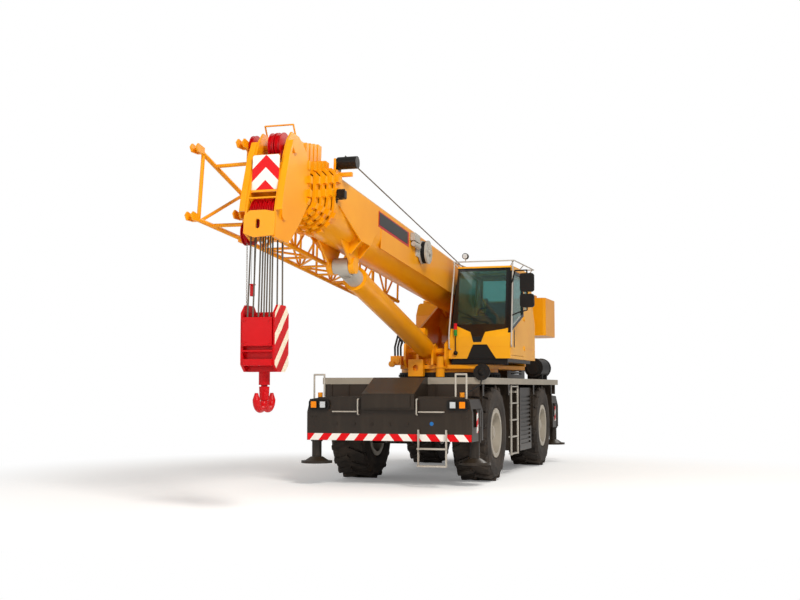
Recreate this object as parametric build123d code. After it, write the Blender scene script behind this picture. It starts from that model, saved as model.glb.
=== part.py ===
from build123d import *
import os
from math import cos, sin, radians, degrees, atan2, hypot, pi

# Rough terrain crane, parked with its boom low and forward, hook hanging.
# All sizes in millimetres. X forward, Y to the machine's left, Z up from the ground.
# The shapes are drawn from the slewing centre and moved once, at export,
# so that the row's origin lies on the ground under the middle of the whole machine.

# Overall extents, seen from the slewing centre
REAR_END = -4500
FRONT_END = 9100
RIGHT_SIDE = -1670
LEFT_SIDE = 2000

# Wheels
TYRE_R = 875
TYRE_W = 675
RIM_R = 390
FRONT_AXLE_X = 2150
REAR_AXLE_X = -2430
WHEEL_Y = 1150
KINGPIN_Y = 860
AXLE_R = 120

# Carrier
HALF_W = 1490
FRAME_HALF = 400
FRAME_BOTTOM = 1130
FRAME_TOP = 1560
DECK_TOP = 1883
DECK_EDGE = 118
DECK_FRONT = 3340
DECK_REAR = -4270
PLATE = 12
FRONT_BOX = (3300, 4090, 790, 1550)
REAR_BOX = (-4270, -3570, 790, 1550)

# Outrigger beams and jacks
BEAM = (250, 300)
BEAM_CLEAR = 10
FRONT_BEAM_X = (3860, 3530)
REAR_BEAM_X = (-4080, -3760)
BEAM_Z = 1180
JACK_Y = 1395
JACK_R = 85
FLOAT_R = 275
FLOAT_BOTTOM = 380

# Superstructure
RING_R = 1050
RING_TOP = 2075
TABLE_TOP = 2150
BOOM_Y = -200
PIVOT_X = -2000
PIVOT_Z = 3450
CYL_FOOT_X = 900
CYL_FOOT_Z = 2420
SIDE_GAP = 395

# Boom, drawn flat from its pivot and then raised
BOOM_ANGLE = 5
BOOM_TOP = 669
BOOM_H = 904
BOOM_HALF = 380
WALL = 12
STEP = 44
BASE_REAR = 350
BASE_FRONT = 9300
SECTION_FRONT = (9450, 9600, 9750)
HEAD_FRONT = 10650
PAD_TOP = 1080
PAD_STEP = 35
LUG_ALONG = 7800
LUG_DROP = -490
LUG_R = 130
TOP_SHEAVE = (10480, 690)
LOW_SHEAVE = (10755, -330)
AUX_SHEAVE = (10640, -560)


# Small helpers

def span(a, b):
    return min(a, b), max(a, b)


def block(x0, x1, y0, y1, z0, z1):
    centre = Pos((x0 + x1) / 2, (y0 + y1) / 2, (z0 + z1) / 2)
    return centre * Box(abs(x1 - x0), abs(y1 - y0), abs(z1 - z0))


def rod_x(y, z, r, x0, x1):
    return Pos((x0 + x1) / 2, y, z) * Rot(0, 90, 0) * Cylinder(r, abs(x1 - x0))


def rod_y(x, z, r, y0, y1):
    return Pos(x, (y0 + y1) / 2, z) * Rot(90, 0, 0) * Cylinder(r, abs(y1 - y0))


def rod_z(x, y, r, z0, z1):
    return Pos(x, y, (z0 + z1) / 2) * Cylinder(r, abs(z1 - z0))


def slab_y(points, a, b):
    y0, y1 = span(a, b)
    face = Plane((0, y0, 0), x_dir=(1, 0, 0), z_dir=(0, -1, 0)) * make_face(Polyline(*points, close=True))
    return extrude(face, y1 - y0, dir=(0, 1, 0))


def slab_x(points, a, b):
    x0, x1 = span(a, b)
    face = Plane((x0, 0, 0), x_dir=(0, 1, 0), z_dir=(1, 0, 0)) * make_face(Polyline(*points, close=True))
    return extrude(face, x1 - x0, dir=(1, 0, 0))


def slab_z(points, a, b):
    z0, z1 = span(a, b)
    face = Pos(0, 0, z0) * make_face(Polyline(*points, close=True))
    return extrude(face, z1 - z0, dir=(0, 0, 1))


def tube(start, end, r):
    a = Vector(*start)
    b = Vector(*end)
    length = (b - a).length
    return Plane(a, z_dir=(b - a)) * Pos(0, 0, length / 2) * Cylinder(r, length)


def pipe(points, r):
    shape = tube(points[0], points[1], r)
    for i in range(1, len(points) - 1):
        shape += tube(points[i], points[i + 1], r)
        shape += Pos(*points[i]) * Sphere(r)
    return shape


def mirrored(shape):
    return shape + mirror(shape, about=Plane.XZ)


def ring_x(y, z, r_out, r_in, x0, x1):
    return rod_x(y, z, r_out, x0, x1) - rod_x(y, z, r_in, min(x0, x1) - 1, max(x0, x1) + 1)


def ring_y(x, z, r_out, r_in, y0, y1):
    return rod_y(x, z, r_out, y0, y1) - rod_y(x, z, r_in, min(y0, y1) - 1, max(y0, y1) + 1)


def ring_z(x, y, r_out, r_in, z0, z1):
    return rod_z(x, y, r_out, z0, z1) - rod_z(x, y, r_in, z0 - 1, z1 + 1)


# Carrier

def chassis_frame():
    frame = Part()
    for s in (-1, 1):
        y0, y1 = sorted((s * FRAME_HALF, s * (FRAME_HALF - 40)))
        frame += block(FRONT_BOX[0], REAR_BOX[1], y0, y1, FRAME_BOTTOM, FRAME_TOP)
    inner = FRAME_HALF - 40
    for z0, z1 in ((FRAME_BOTTOM, FRAME_BOTTOM + 30), (FRAME_TOP - 30, FRAME_TOP)):
        frame += block(REAR_BOX[1], FRONT_BOX[0], -inner, inner, z0, z1)
    frame += rod_z(0, 0, RING_R - 60, 1705, DECK_TOP) + block(-600, 600, -FRAME_HALF, FRAME_HALF, FRAME_TOP, 1706)
    for x in (-1200, 960):
        frame += block(x - 20, x + 20, -FRAME_HALF - 100, FRAME_HALF + 100, FRAME_TOP - 160, DECK_TOP - PLATE)
    for x in (FRONT_AXLE_X, REAR_AXLE_X):
        for y in (-1, 1):
            frame += block(x - 160, x + 160, y * 345 - 55, y * 345 + 55, TYRE_R + 30, FRAME_BOTTOM + 1)
            frame -= rod_y(x, TYRE_R, AXLE_R + 0.3, y * 345 - 60, y * 345 + 60)
    return frame


def box_outline(z0, z1):
    chamfer_low = 1280
    outline = [(-HALF_W, z0), (HALF_W, z0), (HALF_W, chamfer_low), (HALF_W - 50, z1 - 45)]
    return outline + [(HALF_W - 370, z1), (370 - HALF_W, z1), (50 - HALF_W, z1 - 45), (-HALF_W, chamfer_low)]


def front_box_solid():
    x0, x1, z0, z1 = FRONT_BOX
    return slab_x(box_outline(z0, z1), x0, x1)


def outrigger_box(x0, x1, z0, z1, beams, sides):
    box = slab_x(box_outline(z0, z1), x0, x1)
    for x in beams:
        w = BEAM[0] / 2 + BEAM_CLEAR
        h = BEAM[1] / 2 + BEAM_CLEAR
        box -= block(x - w, x + w, -HALF_W - 5, HALF_W + 5, BEAM_Z - BEAM[1] / 2 - 0.3, BEAM_Z + h)
    for x, side in zip(beams, sides):
        w = JACK_R + 18 + BEAM_CLEAR
        box -= block(x - w, x + w, side * (JACK_Y - w), side * (HALF_W + 5), z0 - 1, BEAM_Z)
    return box


def outrigger_beam(x, side):
    w = BEAM[0] / 2
    h = BEAM[1] / 2
    y_in = -side * (HALF_W - 130)
    y_out = side * (JACK_Y - JACK_R - 20)
    lo, hi = sorted((y_in, y_out))
    beam = block(x - w, x + w, lo, hi, BEAM_Z - h, BEAM_Z + h)
    beam -= block(x - w + 15, x + w - 15, lo - 1, hi + 1, BEAM_Z - h + 15, BEAM_Z + h - 15)
    end = sorted((y_out, side * (HALF_W - 5)))
    head = block(x - w, x + w, end[0], end[1], BEAM_Z - h, BEAM_Z + h)
    head += rod_z(x, side * JACK_Y, JACK_R + 18, BEAM_Z - 420, BEAM_Z + h)
    beam += head
    beam -= rod_z(x, side * JACK_Y, JACK_R + 0.3, BEAM_Z - 421, BEAM_Z + h - 20)
    return beam


def outrigger_jack(x, side):
    y = side * JACK_Y
    jack = rod_z(x, y, JACK_R, FLOAT_BOTTOM + 90, BEAM_Z + 110)
    jack += Pos(x, y, FLOAT_BOTTOM + 75) * Cone(FLOAT_R - 60, JACK_R + 25, 70)
    jack += rod_z(x, y, FLOAT_R, FLOAT_BOTTOM, FLOAT_BOTTOM + 41)
    return jack


def deck():
    top = DECK_TOP
    pts = [(DECK_REAR, -HALF_W), (DECK_FRONT, -HALF_W), (DECK_FRONT, HALF_W), (DECK_REAR, HALF_W)]
    plate = slab_z(pts, top - PLATE, top) - rod_z(0, 0, RING_R - 55, top - 50, top + 5)
    edge = slab_z(pts, top - DECK_EDGE, top - PLATE + 1)
    edge -= block(DECK_REAR + PLATE, DECK_FRONT - PLATE, -HALF_W + PLATE, HALF_W - PLATE, top - 150, top)
    wall = block(DECK_FRONT - 40, DECK_FRONT - 20, 60 - HALF_W, HALF_W - 60, FRONT_BOX[3], top - PLATE + 1)
    for i in range(9):
        y = -1320 + 330 * i
        wall += block(DECK_FRONT - 21, DECK_FRONT - 4, y - 8, y + 8, FRONT_BOX[3], top - DECK_EDGE)
    end = block(DECK_REAR + 40, DECK_REAR + 60, 60 - HALF_W, HALF_W - 60, REAR_BOX[3], top - PLATE + 1)
    return plate + edge + wall + end


def fenders():
    guard = Part()
    top = DECK_TOP - PLATE
    for x in (FRONT_AXLE_X, REAR_AXLE_X):
        for s in (-1, 1):
            for e in (-1, 1):
                pts = [(x + e * 980, top), (x + e * 1000, top), (x + e * 1000, 1740), (x + e * 1110, 1560)]
                pts += [(x + e * 1110, 900), (x + e * 1098, 900), (x + e * 1098, 1553), (x + e * 980, 1735)]
                guard += slab_y(pts, s * 480, s * (HALF_W - 15))
                guard += block(x + e * 1000, x + e * 1110, s * (HALF_W - 27), s * (HALF_W - 15), 1560, top)
    return guard


def engine_hood():
    hood = slab_y([(-4250, DECK_TOP), (-2300, DECK_TOP), (-2300, 2480), (-2420, 2560), (-4130, 2560), (-4250, 2440)], -700, 700)
    hood -= slab_y([(-4238, DECK_TOP - 1), (-2312, DECK_TOP - 1), (-2312, 2472), (-2426, 2548), (-4124, 2548), (-4238, 2432)], -688, 688)
    for i in range(7):
        z = 2000 + 62 * i
        hood -= block(-4260, -4230, -560, 560, z, z + 26)
    for s in (-1, 1):
        for i in range(6):
            z = 2010 + 62 * i
            y0, y1 = sorted((s * 680, s * 705))
            hood -= block(-3900, -2700, y0, y1, z, z + 24)
    return hood


def side_box(x0, x1, side):
    y0, y1 = sorted((side * 520, side * 1430))
    box = block(x0, x1, y0, y1, 430, 1700)
    for i in range(12):
        z = 560 + 85 * i
        p0, p1 = sorted((side * 1405, side * 1431))
        box -= block(x0 + 90, x1 - 90, p0, p1, z, z + 42)
    for x in (x0 + 120, x1 - 120):
        p0, p1 = sorted((side * FRAME_HALF, side * 521))
        box += block(x - 30, x + 30, p0, p1, 1200, 1400)
    return box


def fuel_tank():
    tank = fillet(block(-500, 900, -1400, -560, 560, 1640).edges().filter_by(Axis.X), 90)
    for x in (-300, 200, 700):
        band = fillet(block(x - 30, x + 30, -1408, -552, 552, 1648).edges().filter_by(Axis.X), 92)
        tank += band
        tank += block(x - 30, x + 30, -561, -FRAME_HALF, 1200, 1400)
    tank += rod_z(-420, -1250, 60, 1630, 1690)
    return tank


def air_cleaner():
    y, z, rear, front = 1200, 2150, -3700, -2780
    body = rod_x(y, z, 215, rear, front) + rod_x(y, z, 228, rear - 40, rear + 20)
    body += rod_x(y, z, 150, front - 1, front + 50)
    for x in (rear + 200, front - 200):
        body += block(x - 40, x + 40, y - 170, y + 170, DECK_TOP, z - 120)
    body += rod_z(rear + 450, y - 160, 60, z, z + 330)
    return body


def ladder(x0, x1, y, z0, z1, rungs, r):
    shape = tube((x0, y, z0), (x0, y, z1), r) + tube((x1, y, z0), (x1, y, z1), r)
    for i in range(rungs):
        z = z0 + 25 + (z1 - z0 - 50) * i / (rungs - 1)
        shape += block(x0, x1, y - 55, y + 20, z - 12, z + 12)
    return shape


def side_steps():
    steps = ladder(160, 770, HALF_W - 45, 390, 1750, 5, 20)
    for x in (160, 770):
        steps += block(x - 15, x + 15, 859, HALF_W - 45, 1600, 1640)
    steps += block(130, 800, FRAME_HALF, 860, 1500, 1560)
    steps += block(130, 800, 800, 860, 1555, 1640)
    return steps


def front_furniture():
    face = FRONT_BOX[1]
    top = FRONT_BOX[3]
    part = Part()
    for s in (-1, 1):
        part += pipe([(face - 60, s * 1190, top - 2), (face - 60, s * 1190, 1930), (face - 60, s * 1380, 1930), (face - 60, s * 1380, top - 40)], 16)
        part += pipe([(face - 3, s * 530, 1240), (face + 60, s * 530, 1250), (face + 60, s * 530, 1500), (face - 3, s * 530, 1510)], 12)
        part += pipe([(face - 3, s * 560, 1290), (face + 60, s * 570, 1290), (face + 60, s * 990, 1290), (face - 3, s * 1000, 1290)], 12)
    for y in (560, 1050):
        part += block(face + 20, face + 60, y - 12, y + 12, 370, 990)
        part += block(face - 3, face + 61, y - 12, y + 12, 900, 940)
    for z in (380, 670):
        part += block(face + 10, face + 110, 548, 1062, z - 14, z + 14)
    return part - front_box_solid()


def front_lamps():
    face = FRONT_BOX[1]
    lamps = Part()
    for s in (-1, 1):
        housing = block(face, face + 45, s * 1060, s * 1445, 1318, 1500)
        lamps += fillet(housing.edges().filter_by(Axis.X), 60)
        lamps += fillet(block(face + 44, face + 80, s * 1110, s * 1235, 1345, 1475).edges().filter_by(Axis.X), 30)
        lamps += fillet(block(face + 44, face + 80, s * 1280, s * 1400, 1345, 1475).edges().filter_by(Axis.X), 20)
        lamps += rod_z(face - 120, s * 1290, 42, FRONT_BOX[3] - 60, FRONT_BOX[3] + 70)
    stalk = [(3700, 1250, 1548), (3600, 1320, 1640), (3420, 1480, 1760), (3330, 1500, 1960)]
    lamps += pipe(stalk, 12)
    lamps += Pos(3330, 1480, 1975) * Rot(0, 70, -18) * Cylinder(150, 26)
    lamps += Pos(3345, 1484, 1980) * Rot(0, 70, -18) * Cone(100, 45, 60)
    return lamps - front_box_solid()


def locker():
    top = DECK_TOP
    body = slab_y([(3340, 1550), (3340, top), (3520, top), (4080, 1640), (4180, 1600), (4180, 1330), (4090, 1330), (4090, 1550)], -450, 500)
    body += block(4178, 4200, -380, 430, 1360, 1570)
    return body


def front_frame_cover():
    cover = slab_y([(2900, 1562), (3290, 1562), (3290, DECK_TOP - DECK_EDGE), (2900, DECK_TOP - DECK_EDGE)], -395, 395)
    return cover


def axle(x, steer):
    beam = rod_y(x, TYRE_R, AXLE_R, -KINGPIN_Y + 120, KINGPIN_Y - 120)
    beam += Pos(x, 0, TYRE_R) * Sphere(250)
    for s in (-1, 1):
        y0, y1 = sorted((s * (KINGPIN_Y - 220), s * (KINGPIN_Y - 125)))
        beam += rod_y(x, TYRE_R, 150, y0, y1)
        for z0, z1 in ((TYRE_R - 215, TYRE_R - 150), (TYRE_R + 150, TYRE_R + 215)):
            b0, b1 = sorted((s * (KINGPIN_Y - 200), s * KINGPIN_Y))
            beam += block(x - 70, x + 70, b0, b1, z0, z1)
            beam += rod_z(x, s * KINGPIN_Y, 70, z0, z1)
        w0, w1 = sorted((s * (KINGPIN_Y - 200), s * (KINGPIN_Y - 125)))
        beam += block(x - 70, x + 70, w0, w1, TYRE_R - 215, TYRE_R + 215)
    return beam


def knuckle(x, s):
    k = rod_z(x, s * KINGPIN_Y, 62, TYRE_R - 149.7, TYRE_R + 149.7)
    y0, y1 = sorted((s * (KINGPIN_Y - 2), s * (WHEEL_Y + 85)))
    k += rod_y(x, TYRE_R, 88, y0, y1)
    f0, f1 = sorted((s * (KINGPIN_Y + 95), s * (KINGPIN_Y + 135)))
    k += rod_y(x, TYRE_R, 190, f0, f1)
    k += block(x - 250, x - 50, s * KINGPIN_Y - 30, s * KINGPIN_Y + 30, TYRE_R - 110, TYRE_R - 70)
    return k


# Wheels

def rim(x, s):
    def disc(r, a, b):
        y0, y1 = sorted((s * a, s * b))
        return rod_y(x, TYRE_R, r, y0, y1)
    inner = WHEEL_Y - TYRE_W / 2 + 25
    outer = WHEEL_Y + TYRE_W / 2 - 25
    wheel = disc(RIM_R, inner, outer) - disc(RIM_R - 22, inner - 1, WHEEL_Y + 60) - disc(RIM_R - 22, WHEEL_Y + 90, outer + 1)
    wheel += disc(RIM_R + 60, outer - 20, outer) - disc(RIM_R - 22, outer - 21, outer + 1)
    wheel += disc(RIM_R + 60, inner, inner + 20) - disc(RIM_R - 22, inner - 1, inner + 21)
    wheel -= disc(88.3, WHEEL_Y - 200, WHEEL_Y + 91)
    wheel += disc(185, WHEEL_Y + 89, WHEEL_Y + 190)
    wheel += disc(120, WHEEL_Y + 189, WHEEL_Y + 260)
    return wheel


def tyre():
    half = TYRE_W / 2
    seat = half - 45
    shoulder = TYRE_R - 45
    stations = [(640, -half), (780, 12 - half), (shoulder, 70 - half), (shoulder, half - 70), (780, half - 12), (640, half)]
    shape = loft([(Pos(0, 0, w) * RegularPolygon(r, TYRE_SIDES)).face() for r, w in stations], ruled=True)
    shape -= Pos(0, 0, -half) * extrude(RegularPolygon(RIM_R + 4, TYRE_SIDES), TYRE_W, dir=(0, 0, 1))
    dish = [(RIM_R + 64, seat - 0.3), (RIM_R + 110, half - 16), (640, half + 0.01)]
    cut = loft([(Pos(0, 0, w) * RegularPolygon(r, TYRE_SIDES)).face() for r, w in dish], ruled=True)
    shape -= cut
    shape -= mirror(cut, about=Plane.XY)
    lugs = []
    for i in range(LUGS):
        for side in (-1, 1):
            angle = 360 / LUGS * (i + 0.25 * side)
            lug = Pos(shoulder, 0, side * 160) * Rot(side * 24, 0, 0) * Box(110, 82, 330)
            lugs.append(Rot(0, 0, angle) * lug)
    limit_stations = [(760, -half), (TYRE_R, 35 - half), (TYRE_R, half - 35), (760, half)]
    limit = loft([(Pos(0, 0, w) * RegularPolygon(r, TYRE_SIDES)).face() for r, w in limit_stations], ruled=True)
    return (shape + lugs) & limit


# Slewing superstructure

def slew_ring():
    ring = ring_z(0, 0, RING_R - 20, 820, DECK_TOP, RING_TOP - 70)
    ring += ring_z(0, 0, RING_R, 820, DECK_TOP + 40, RING_TOP - 110)
    gap = block(RING_R - 22, RING_R + 5, -26, 26, DECK_TOP + 39, RING_TOP - 109)
    return ring - [Rot(0, 0, 6 * i) * gap for i in range(60)]


def turntable():
    table = rod_z(0, 0, RING_R - 60, RING_TOP - 69.7, TABLE_TOP)
    floor = [(-1950, -1115), (900, -780), (1050, -560), (1050, 260), (950, 900), (-1300, 1300), (-1950, 1100)]
    table += slab_z(floor, RING_TOP, TABLE_TOP)
    outline = [(-1950, 2100), (1050, 2100), (1150, 2250), (1120, 2560), (900, 2650), (-50, 2980), (-1200, 3430)]
    outline += [(-1750, 3680), (-2150, 3680), (-2320, 3450), (-2250, 2900)]
    for s in (-1, 1):
        inner = BOOM_Y + s * SIDE_GAP
        outer = BOOM_Y + s * (SIDE_GAP + 45)
        cheek = slab_y(outline, inner, outer)
        cheek -= rod_y(-500, 2520, 200, inner - 60, inner + 60)
        cheek -= rod_y(-1300, 2800, 240, inner - 60, inner + 60)
        cheek += rod_y(PIVOT_X, PIVOT_Z, 190, inner, BOOM_Y + s * (SIDE_GAP + 90))
        cheek += rod_y(CYL_FOOT_X, CYL_FOOT_Z, 130, inner, BOOM_Y + s * (SIDE_GAP + 60)) - block(600, 1200, 200, 300, 2200, 2700)
        cheek += slab_y([(600, 2149), (1150, 2149), (1110, 2500), (950, 2570), (760, 2500)], BOOM_Y + s * 130, BOOM_Y + s * 170)
        cheek += slab_y([(-2100, 2600), (-2100, 3560), (-2950, 3560), (-2950, 2860), (-2600, 2600)], inner, outer)
        table += cheek
    table += block(-1900, -1600, BOOM_Y - SIDE_GAP, BOOM_Y + SIDE_GAP, 2149, 2700)
    table += slab_y([(-1600, 2149), (-1600, 2700), (-1560, 2700), (-250, 2189), (-250, 2149)], BOOM_Y - SIDE_GAP, BOOM_Y + SIDE_GAP)
    table += rod_y(CYL_FOOT_X, CYL_FOOT_Z, 60, BOOM_Y - SIDE_GAP - 30, BOOM_Y + SIDE_GAP + 30)
    table += rod_y(PIVOT_X, PIVOT_Z, 80, BOOM_Y - SIDE_GAP - 100, BOOM_Y + SIDE_GAP + 100)
    table += block(-2950, -2100, BOOM_Y - SIDE_GAP - 45, BOOM_Y + SIDE_GAP + 45, 2860, 2900)
    for x in (-1350, 780):
        table += block(x - 60, x + 60, CAB_IN, 1300, TABLE_TOP - 1, 2200)
    table += block(1049, 1180, -530, -230, 1925, 2260) - rod_x(-380, 2090, 60, 1100, 1200)
    return table


def slew_drive():
    drive = rod_z(1160, 120, 70, 2110, 2310) + rod_z(1160, 120, 108, 2090, 2112)
    drive += rod_z(1160, 120, 85, DECK_TOP + 30, 2091) + block(1050, 1160, 60, 180, 2100, 2130)
    drive += rod_x(-800, 2240, 75, 940, 1130) + block(900, 1110, -920, -700, TABLE_TOP, 2330)
    drive += rod_x(-880, 2170, 60, 1109, 1180)
    for y, z in ((-860, 2330), (-800, 2330), (-740, 2330)):
        drive += pipe([(1000, y, z - 20), (1010, y, z + 180), (900, y + 30, z + 420), (700, y + 60, 2600)], 20)
    return drive


def counterweight():
    body = block(REAR_END, -2950, -1450, 1450, 2880, 3740)
    body = fillet(body.edges().filter_by(Axis.Z).group_by(Axis.X)[0], 380)
    body = chamfer(body.edges().filter_by(Axis.Z).group_by(Axis.X)[-1], 60)
    body -= block(-3700, -2900, -700, 700, 3200, 3800)
    for s in (-1, 1):
        y = s * 1050
        body += block(-3950, -3700, y - 20, y + 20, 3739, 3860) - rod_y(-3825, 3800, 32, y - 30, y + 30)
    return body


def winch(z, x, r, half):
    drum = rod_y(x, z, r, -half + 30, half - 30)
    drum += rod_y(x, z, 60, 0.3 - SIDE_GAP, SIDE_GAP - 0.3)
    for s in (-1, 1):
        y0, y1 = sorted((s * (half - 30), s * half))
        drum += rod_y(x, z, r + 100, y0, y1)
    return Pos(0, BOOM_Y, 0) * drum


# Y of the right cheek's outer face, where the tank stands against it
CHEEK_RIGHT = -BOOM_Y + SIDE_GAP + 45


# Cab

CAB_REAR = -1480
CAB_FRONT = 1000
CAB_LEAN = 200
CAB_IN = 245
CAB_OUT = 1490
CAB_LOW = 2270
CAB_HIGH = 4100
CAB_WALL = 45


def cab_side_outline(grow):
    g = grow
    pts = [(CAB_REAR + g, CAB_LOW + g), (CAB_FRONT - g, CAB_LOW + g), (CAB_FRONT - g, 2700)]
    pts += [(CAB_FRONT - CAB_LEAN - g, CAB_HIGH - g), (CAB_REAR + 365 + g, CAB_HIGH - g), (CAB_REAR + 300 + g, 3500), (CAB_REAR + g, 3050)]
    return pts


def cab_body(grow):
    body = slab_y(cab_side_outline(grow), CAB_IN + grow, CAB_OUT - grow)
    cut = [(CAB_IN - 50, CAB_HIGH + 50), (CAB_IN + 150 + grow, CAB_HIGH + 50), (CAB_IN + 30 + grow, 2700), (CAB_IN - 50, 2700)]
    return body - slab_x(cut, CAB_REAR - 10, CAB_FRONT + 10)


def cab_shell():
    shell = cab_body(0) - cab_body(CAB_WALL)
    shell -= windscreen_hole()
    shell -= slab_y(QUARTER_WINDOW, CAB_OUT - 100, CAB_OUT + 50)
    shell -= slab_y(DOOR_OUTLINE, CAB_OUT - 100, CAB_OUT + 50)
    shell -= slab_y(INNER_WINDOW, CAB_IN - 50, CAB_IN + 260)
    shell -= block(*ROOF_WINDOW, CAB_HIGH - 100, CAB_HIGH + 100)
    shell -= slab_x(REAR_WINDOW, CAB_REAR - 50, CAB_REAR + 600)
    shell -= slab_x([(620, CAB_LOW - 1), (740, 2545), (1020, 2545), (1200, CAB_LOW - 1)], CAB_FRONT - 25, CAB_FRONT + 1)
    shell -= block(CAB_FRONT - 6, CAB_FRONT + 1, CAB_IN - 1, CAB_OUT + 1, 2498, 2506)
    shell -= block(CAB_REAR - 1, CAB_FRONT + 1, CAB_OUT - 6, CAB_OUT + 1, 2498, 2506)
    shell += block(-1300, 900, 330, 1400, CAB_LOW + CAB_WALL, CAB_LOW + CAB_WALL + 6)
    for z in HINGE_Z:
        shell += rod_z(-330, CAB_OUT + 12, 9, z - 45, z + 45) + block(-380, -330, CAB_OUT - 1, CAB_OUT + 20, z - 45, z - 20)
    return shell


QUARTER_WINDOW = [(-370, 3250), (-370, 3950), (-820, 3950), (-850, 3420)]
DOOR_OUTLINE = [(-300, 2330), (880, 2330), (880, 2720), (720, 4020), (-300, 4020)]
DOOR_WINDOW = [(-215, 3200), (775, 2900), (650, 3945), (-215, 3945)]
INNER_WINDOW = [(-800, 3100), (780, 2900), (660, 3980), (-760, 3980)]
REAR_WINDOW = [(420, 3150), (1380, 3150), (1360, 3980), (450, 3980)]
ROOF_WINDOW = (-550, 450, 480, 1300)
HINGE_Z = (2500, 3100, 3850)
DOOR_GAP = 8


def windscreen_hole():
    outline = [(385, 4045), (1450, 4045), (1395, 2850), (985, 2790), (905, 2590), (745, 2590), (690, 2790), (300, 2960)]
    return slab_x(outline, 500, CAB_FRONT + 100)


def cab_door():
    g = DOOR_GAP
    frame = [(-300 + g, 2330 + g), (880 - g, 2330 + g), (880 - g, 2720), (720 - g, 4020 - g), (-300 + g, 4020 - g)]
    door = slab_y(frame, CAB_OUT - 42, CAB_OUT + 4) - slab_y(DOOR_WINDOW, CAB_OUT - 60, CAB_OUT + 20)
    door -= fillet(block(640, 690, CAB_OUT - 16, CAB_OUT + 20, 2520, 2820).edges().filter_by(Axis.Y), 24)
    door += tube((665, CAB_OUT - 4, 2510), (665, CAB_OUT - 4, 2830), 7)
    for z in HINGE_Z:
        leaf = block(-330, -280, CAB_OUT + 4, CAB_OUT + 21, z - 19.7, z + 45)
        leaf += rod_z(-330, CAB_OUT + 12, 11.4, z - 19.7, z + 45)
        door += leaf - rod_z(-330, CAB_OUT + 12, 9.3, z - 60, z + 60)
    return door - block(-360, -309, CAB_OUT - 50, CAB_OUT + 2.5, 2300, 4050)


def door_glass():
    return slab_y(DOOR_WINDOW, CAB_OUT - 30, CAB_OUT - 22)


def cab_glass():
    pane = cab_body(12) - cab_body(20)
    keep = windscreen_hole() + slab_y(QUARTER_WINDOW, CAB_OUT - 30, CAB_OUT + 50)
    keep += slab_y(INNER_WINDOW, CAB_IN - 50, CAB_IN + 260)
    keep += block(*ROOF_WINDOW, CAB_HIGH - 30, CAB_HIGH + 100)
    keep += slab_x(REAR_WINDOW, CAB_REAR - 50, CAB_REAR + 600)
    return pane & keep


def cab_interior():
    floor = CAB_LOW + CAB_WALL + 6
    seat = block(-500, 50, 650, 1150, floor + 350, floor + 470)
    seat += slab_y([(-500, floor + 460), (-360, floor + 460), (-520, floor + 1150), (-640, floor + 1130)], 660, 1140)
    seat += block(-420, -60, 740, 1060, floor, floor + 351)
    seat += slab_y([(560, floor), (800, floor), (700, floor + 780), (560, floor + 820), (500, floor + 700)], 650, 1150)
    for y in (600, 1200):
        seat += block(-420, 40, y - 45, y + 45, floor + 560, floor + 640)
        seat += block(-250, -150, y - 30, y + 30, floor, floor + 561)
    seat += Pos(420, 900, floor + 860) * Rot(0, -35, 0) * Torus(190, 14)
    seat += tube((560, 900, floor + 700), (420, 900, floor + 860), 22)
    seat += Pos(420, 900, floor + 860) * Rot(0, -35, 0) * Box(24, 380, 14)
    return seat


def cab_trim():
    z = CAB_HIGH + 95
    rail = [(840, 310, z), (840, 1540, z), (-1150, 1540, z), (-1150, 310, z), (840, 310, z)]
    part = pipe(rail, 13)
    for x, y in ((840, 400), (840, 1440), (-100, 1440), (-1060, 1440), (-1060, 440), (-100, 440)):
        foot_x = min(max(x, -1080), 780)
        part += tube((foot_x, y, CAB_HIGH - 20), (x, 1540 if y > 800 else 310, z), 10)
    part += pipe([(930, 1500, 2500), (1050, 1520, 2530), (870, 1520, 4000), (800, 1500, z)], 14)
    part += pipe([(990, 290, 2450), (1050, 270, 2480), (1050, 270, 2750), (870, 330, 4000), (840, 330, z)], 14)
    part += rod_y(CAB_FRONT + 30, 2175, 12, 380, 1180)
    for y in (420, 1140):
        part += block(900, CAB_FRONT + 34, y - 10, y + 10, 2165, 2185)
    part += block(-1300, 940, 290, 1420, 2200, CAB_LOW)
    part += block(880, 941, 290, 1420, TABLE_TOP + 0.3, 2201)
    part += pipe([(980, 400, 2400), (1040, 400, 2380), (1040, 400, 2960)], 10)
    part += rod_z(1040, 400, 34, 2720, 2960)
    part += Pos(1040, 400, 2380) * Sphere(45)
    part += tube((840, 560, z), (840, 560, z + 60), 10)
    part += rod_x(560, z + 110, 62, 810, 880)
    return part - cab_body(0)


def mirrors():
    part = pipe([(830, 1480, 3700), (1150, 1620, 3960), (1180, 1860, 3960), (1180, 1860, 3180)], 14)
    part += pipe([(940, 1490, 3100), (1170, 1700, 3150), (1180, 1860, 3190)], 12)
    for z0, z1 in ((3540, 3900), (3240, 3500)):
        shell = fillet(block(1150, 1230, 1730, LEFT_SIDE, z0, z1).edges().filter_by(Axis.X), 50)
        part += shell
    return part - cab_body(0) - cab_trim()


def right_body():
    low, inner, outer, rear = TABLE_TOP, -CHEEK_RIGHT, -1115, -1950
    tank = slab_y([(rear, low), (-900, low), (-900, 2900), (-1300, 3000), (-1300, 3280), (-1500, 3560), (rear, 3560)], outer, inner)
    tank = chamfer(tank.edges().filter_by(Axis.X).group_by(Axis.Y)[0], 40)
    for x in (-1850, -1600):
        tank += rod_z(x, (inner + outer) / 2 - 60, 60, 3559, 3600)
    return tank - rod_y(PIVOT_X, PIVOT_Z, 195, -800, -600)


# Boom, in its own flat frame: X along it, Z square to it, origin at the pivot

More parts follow.
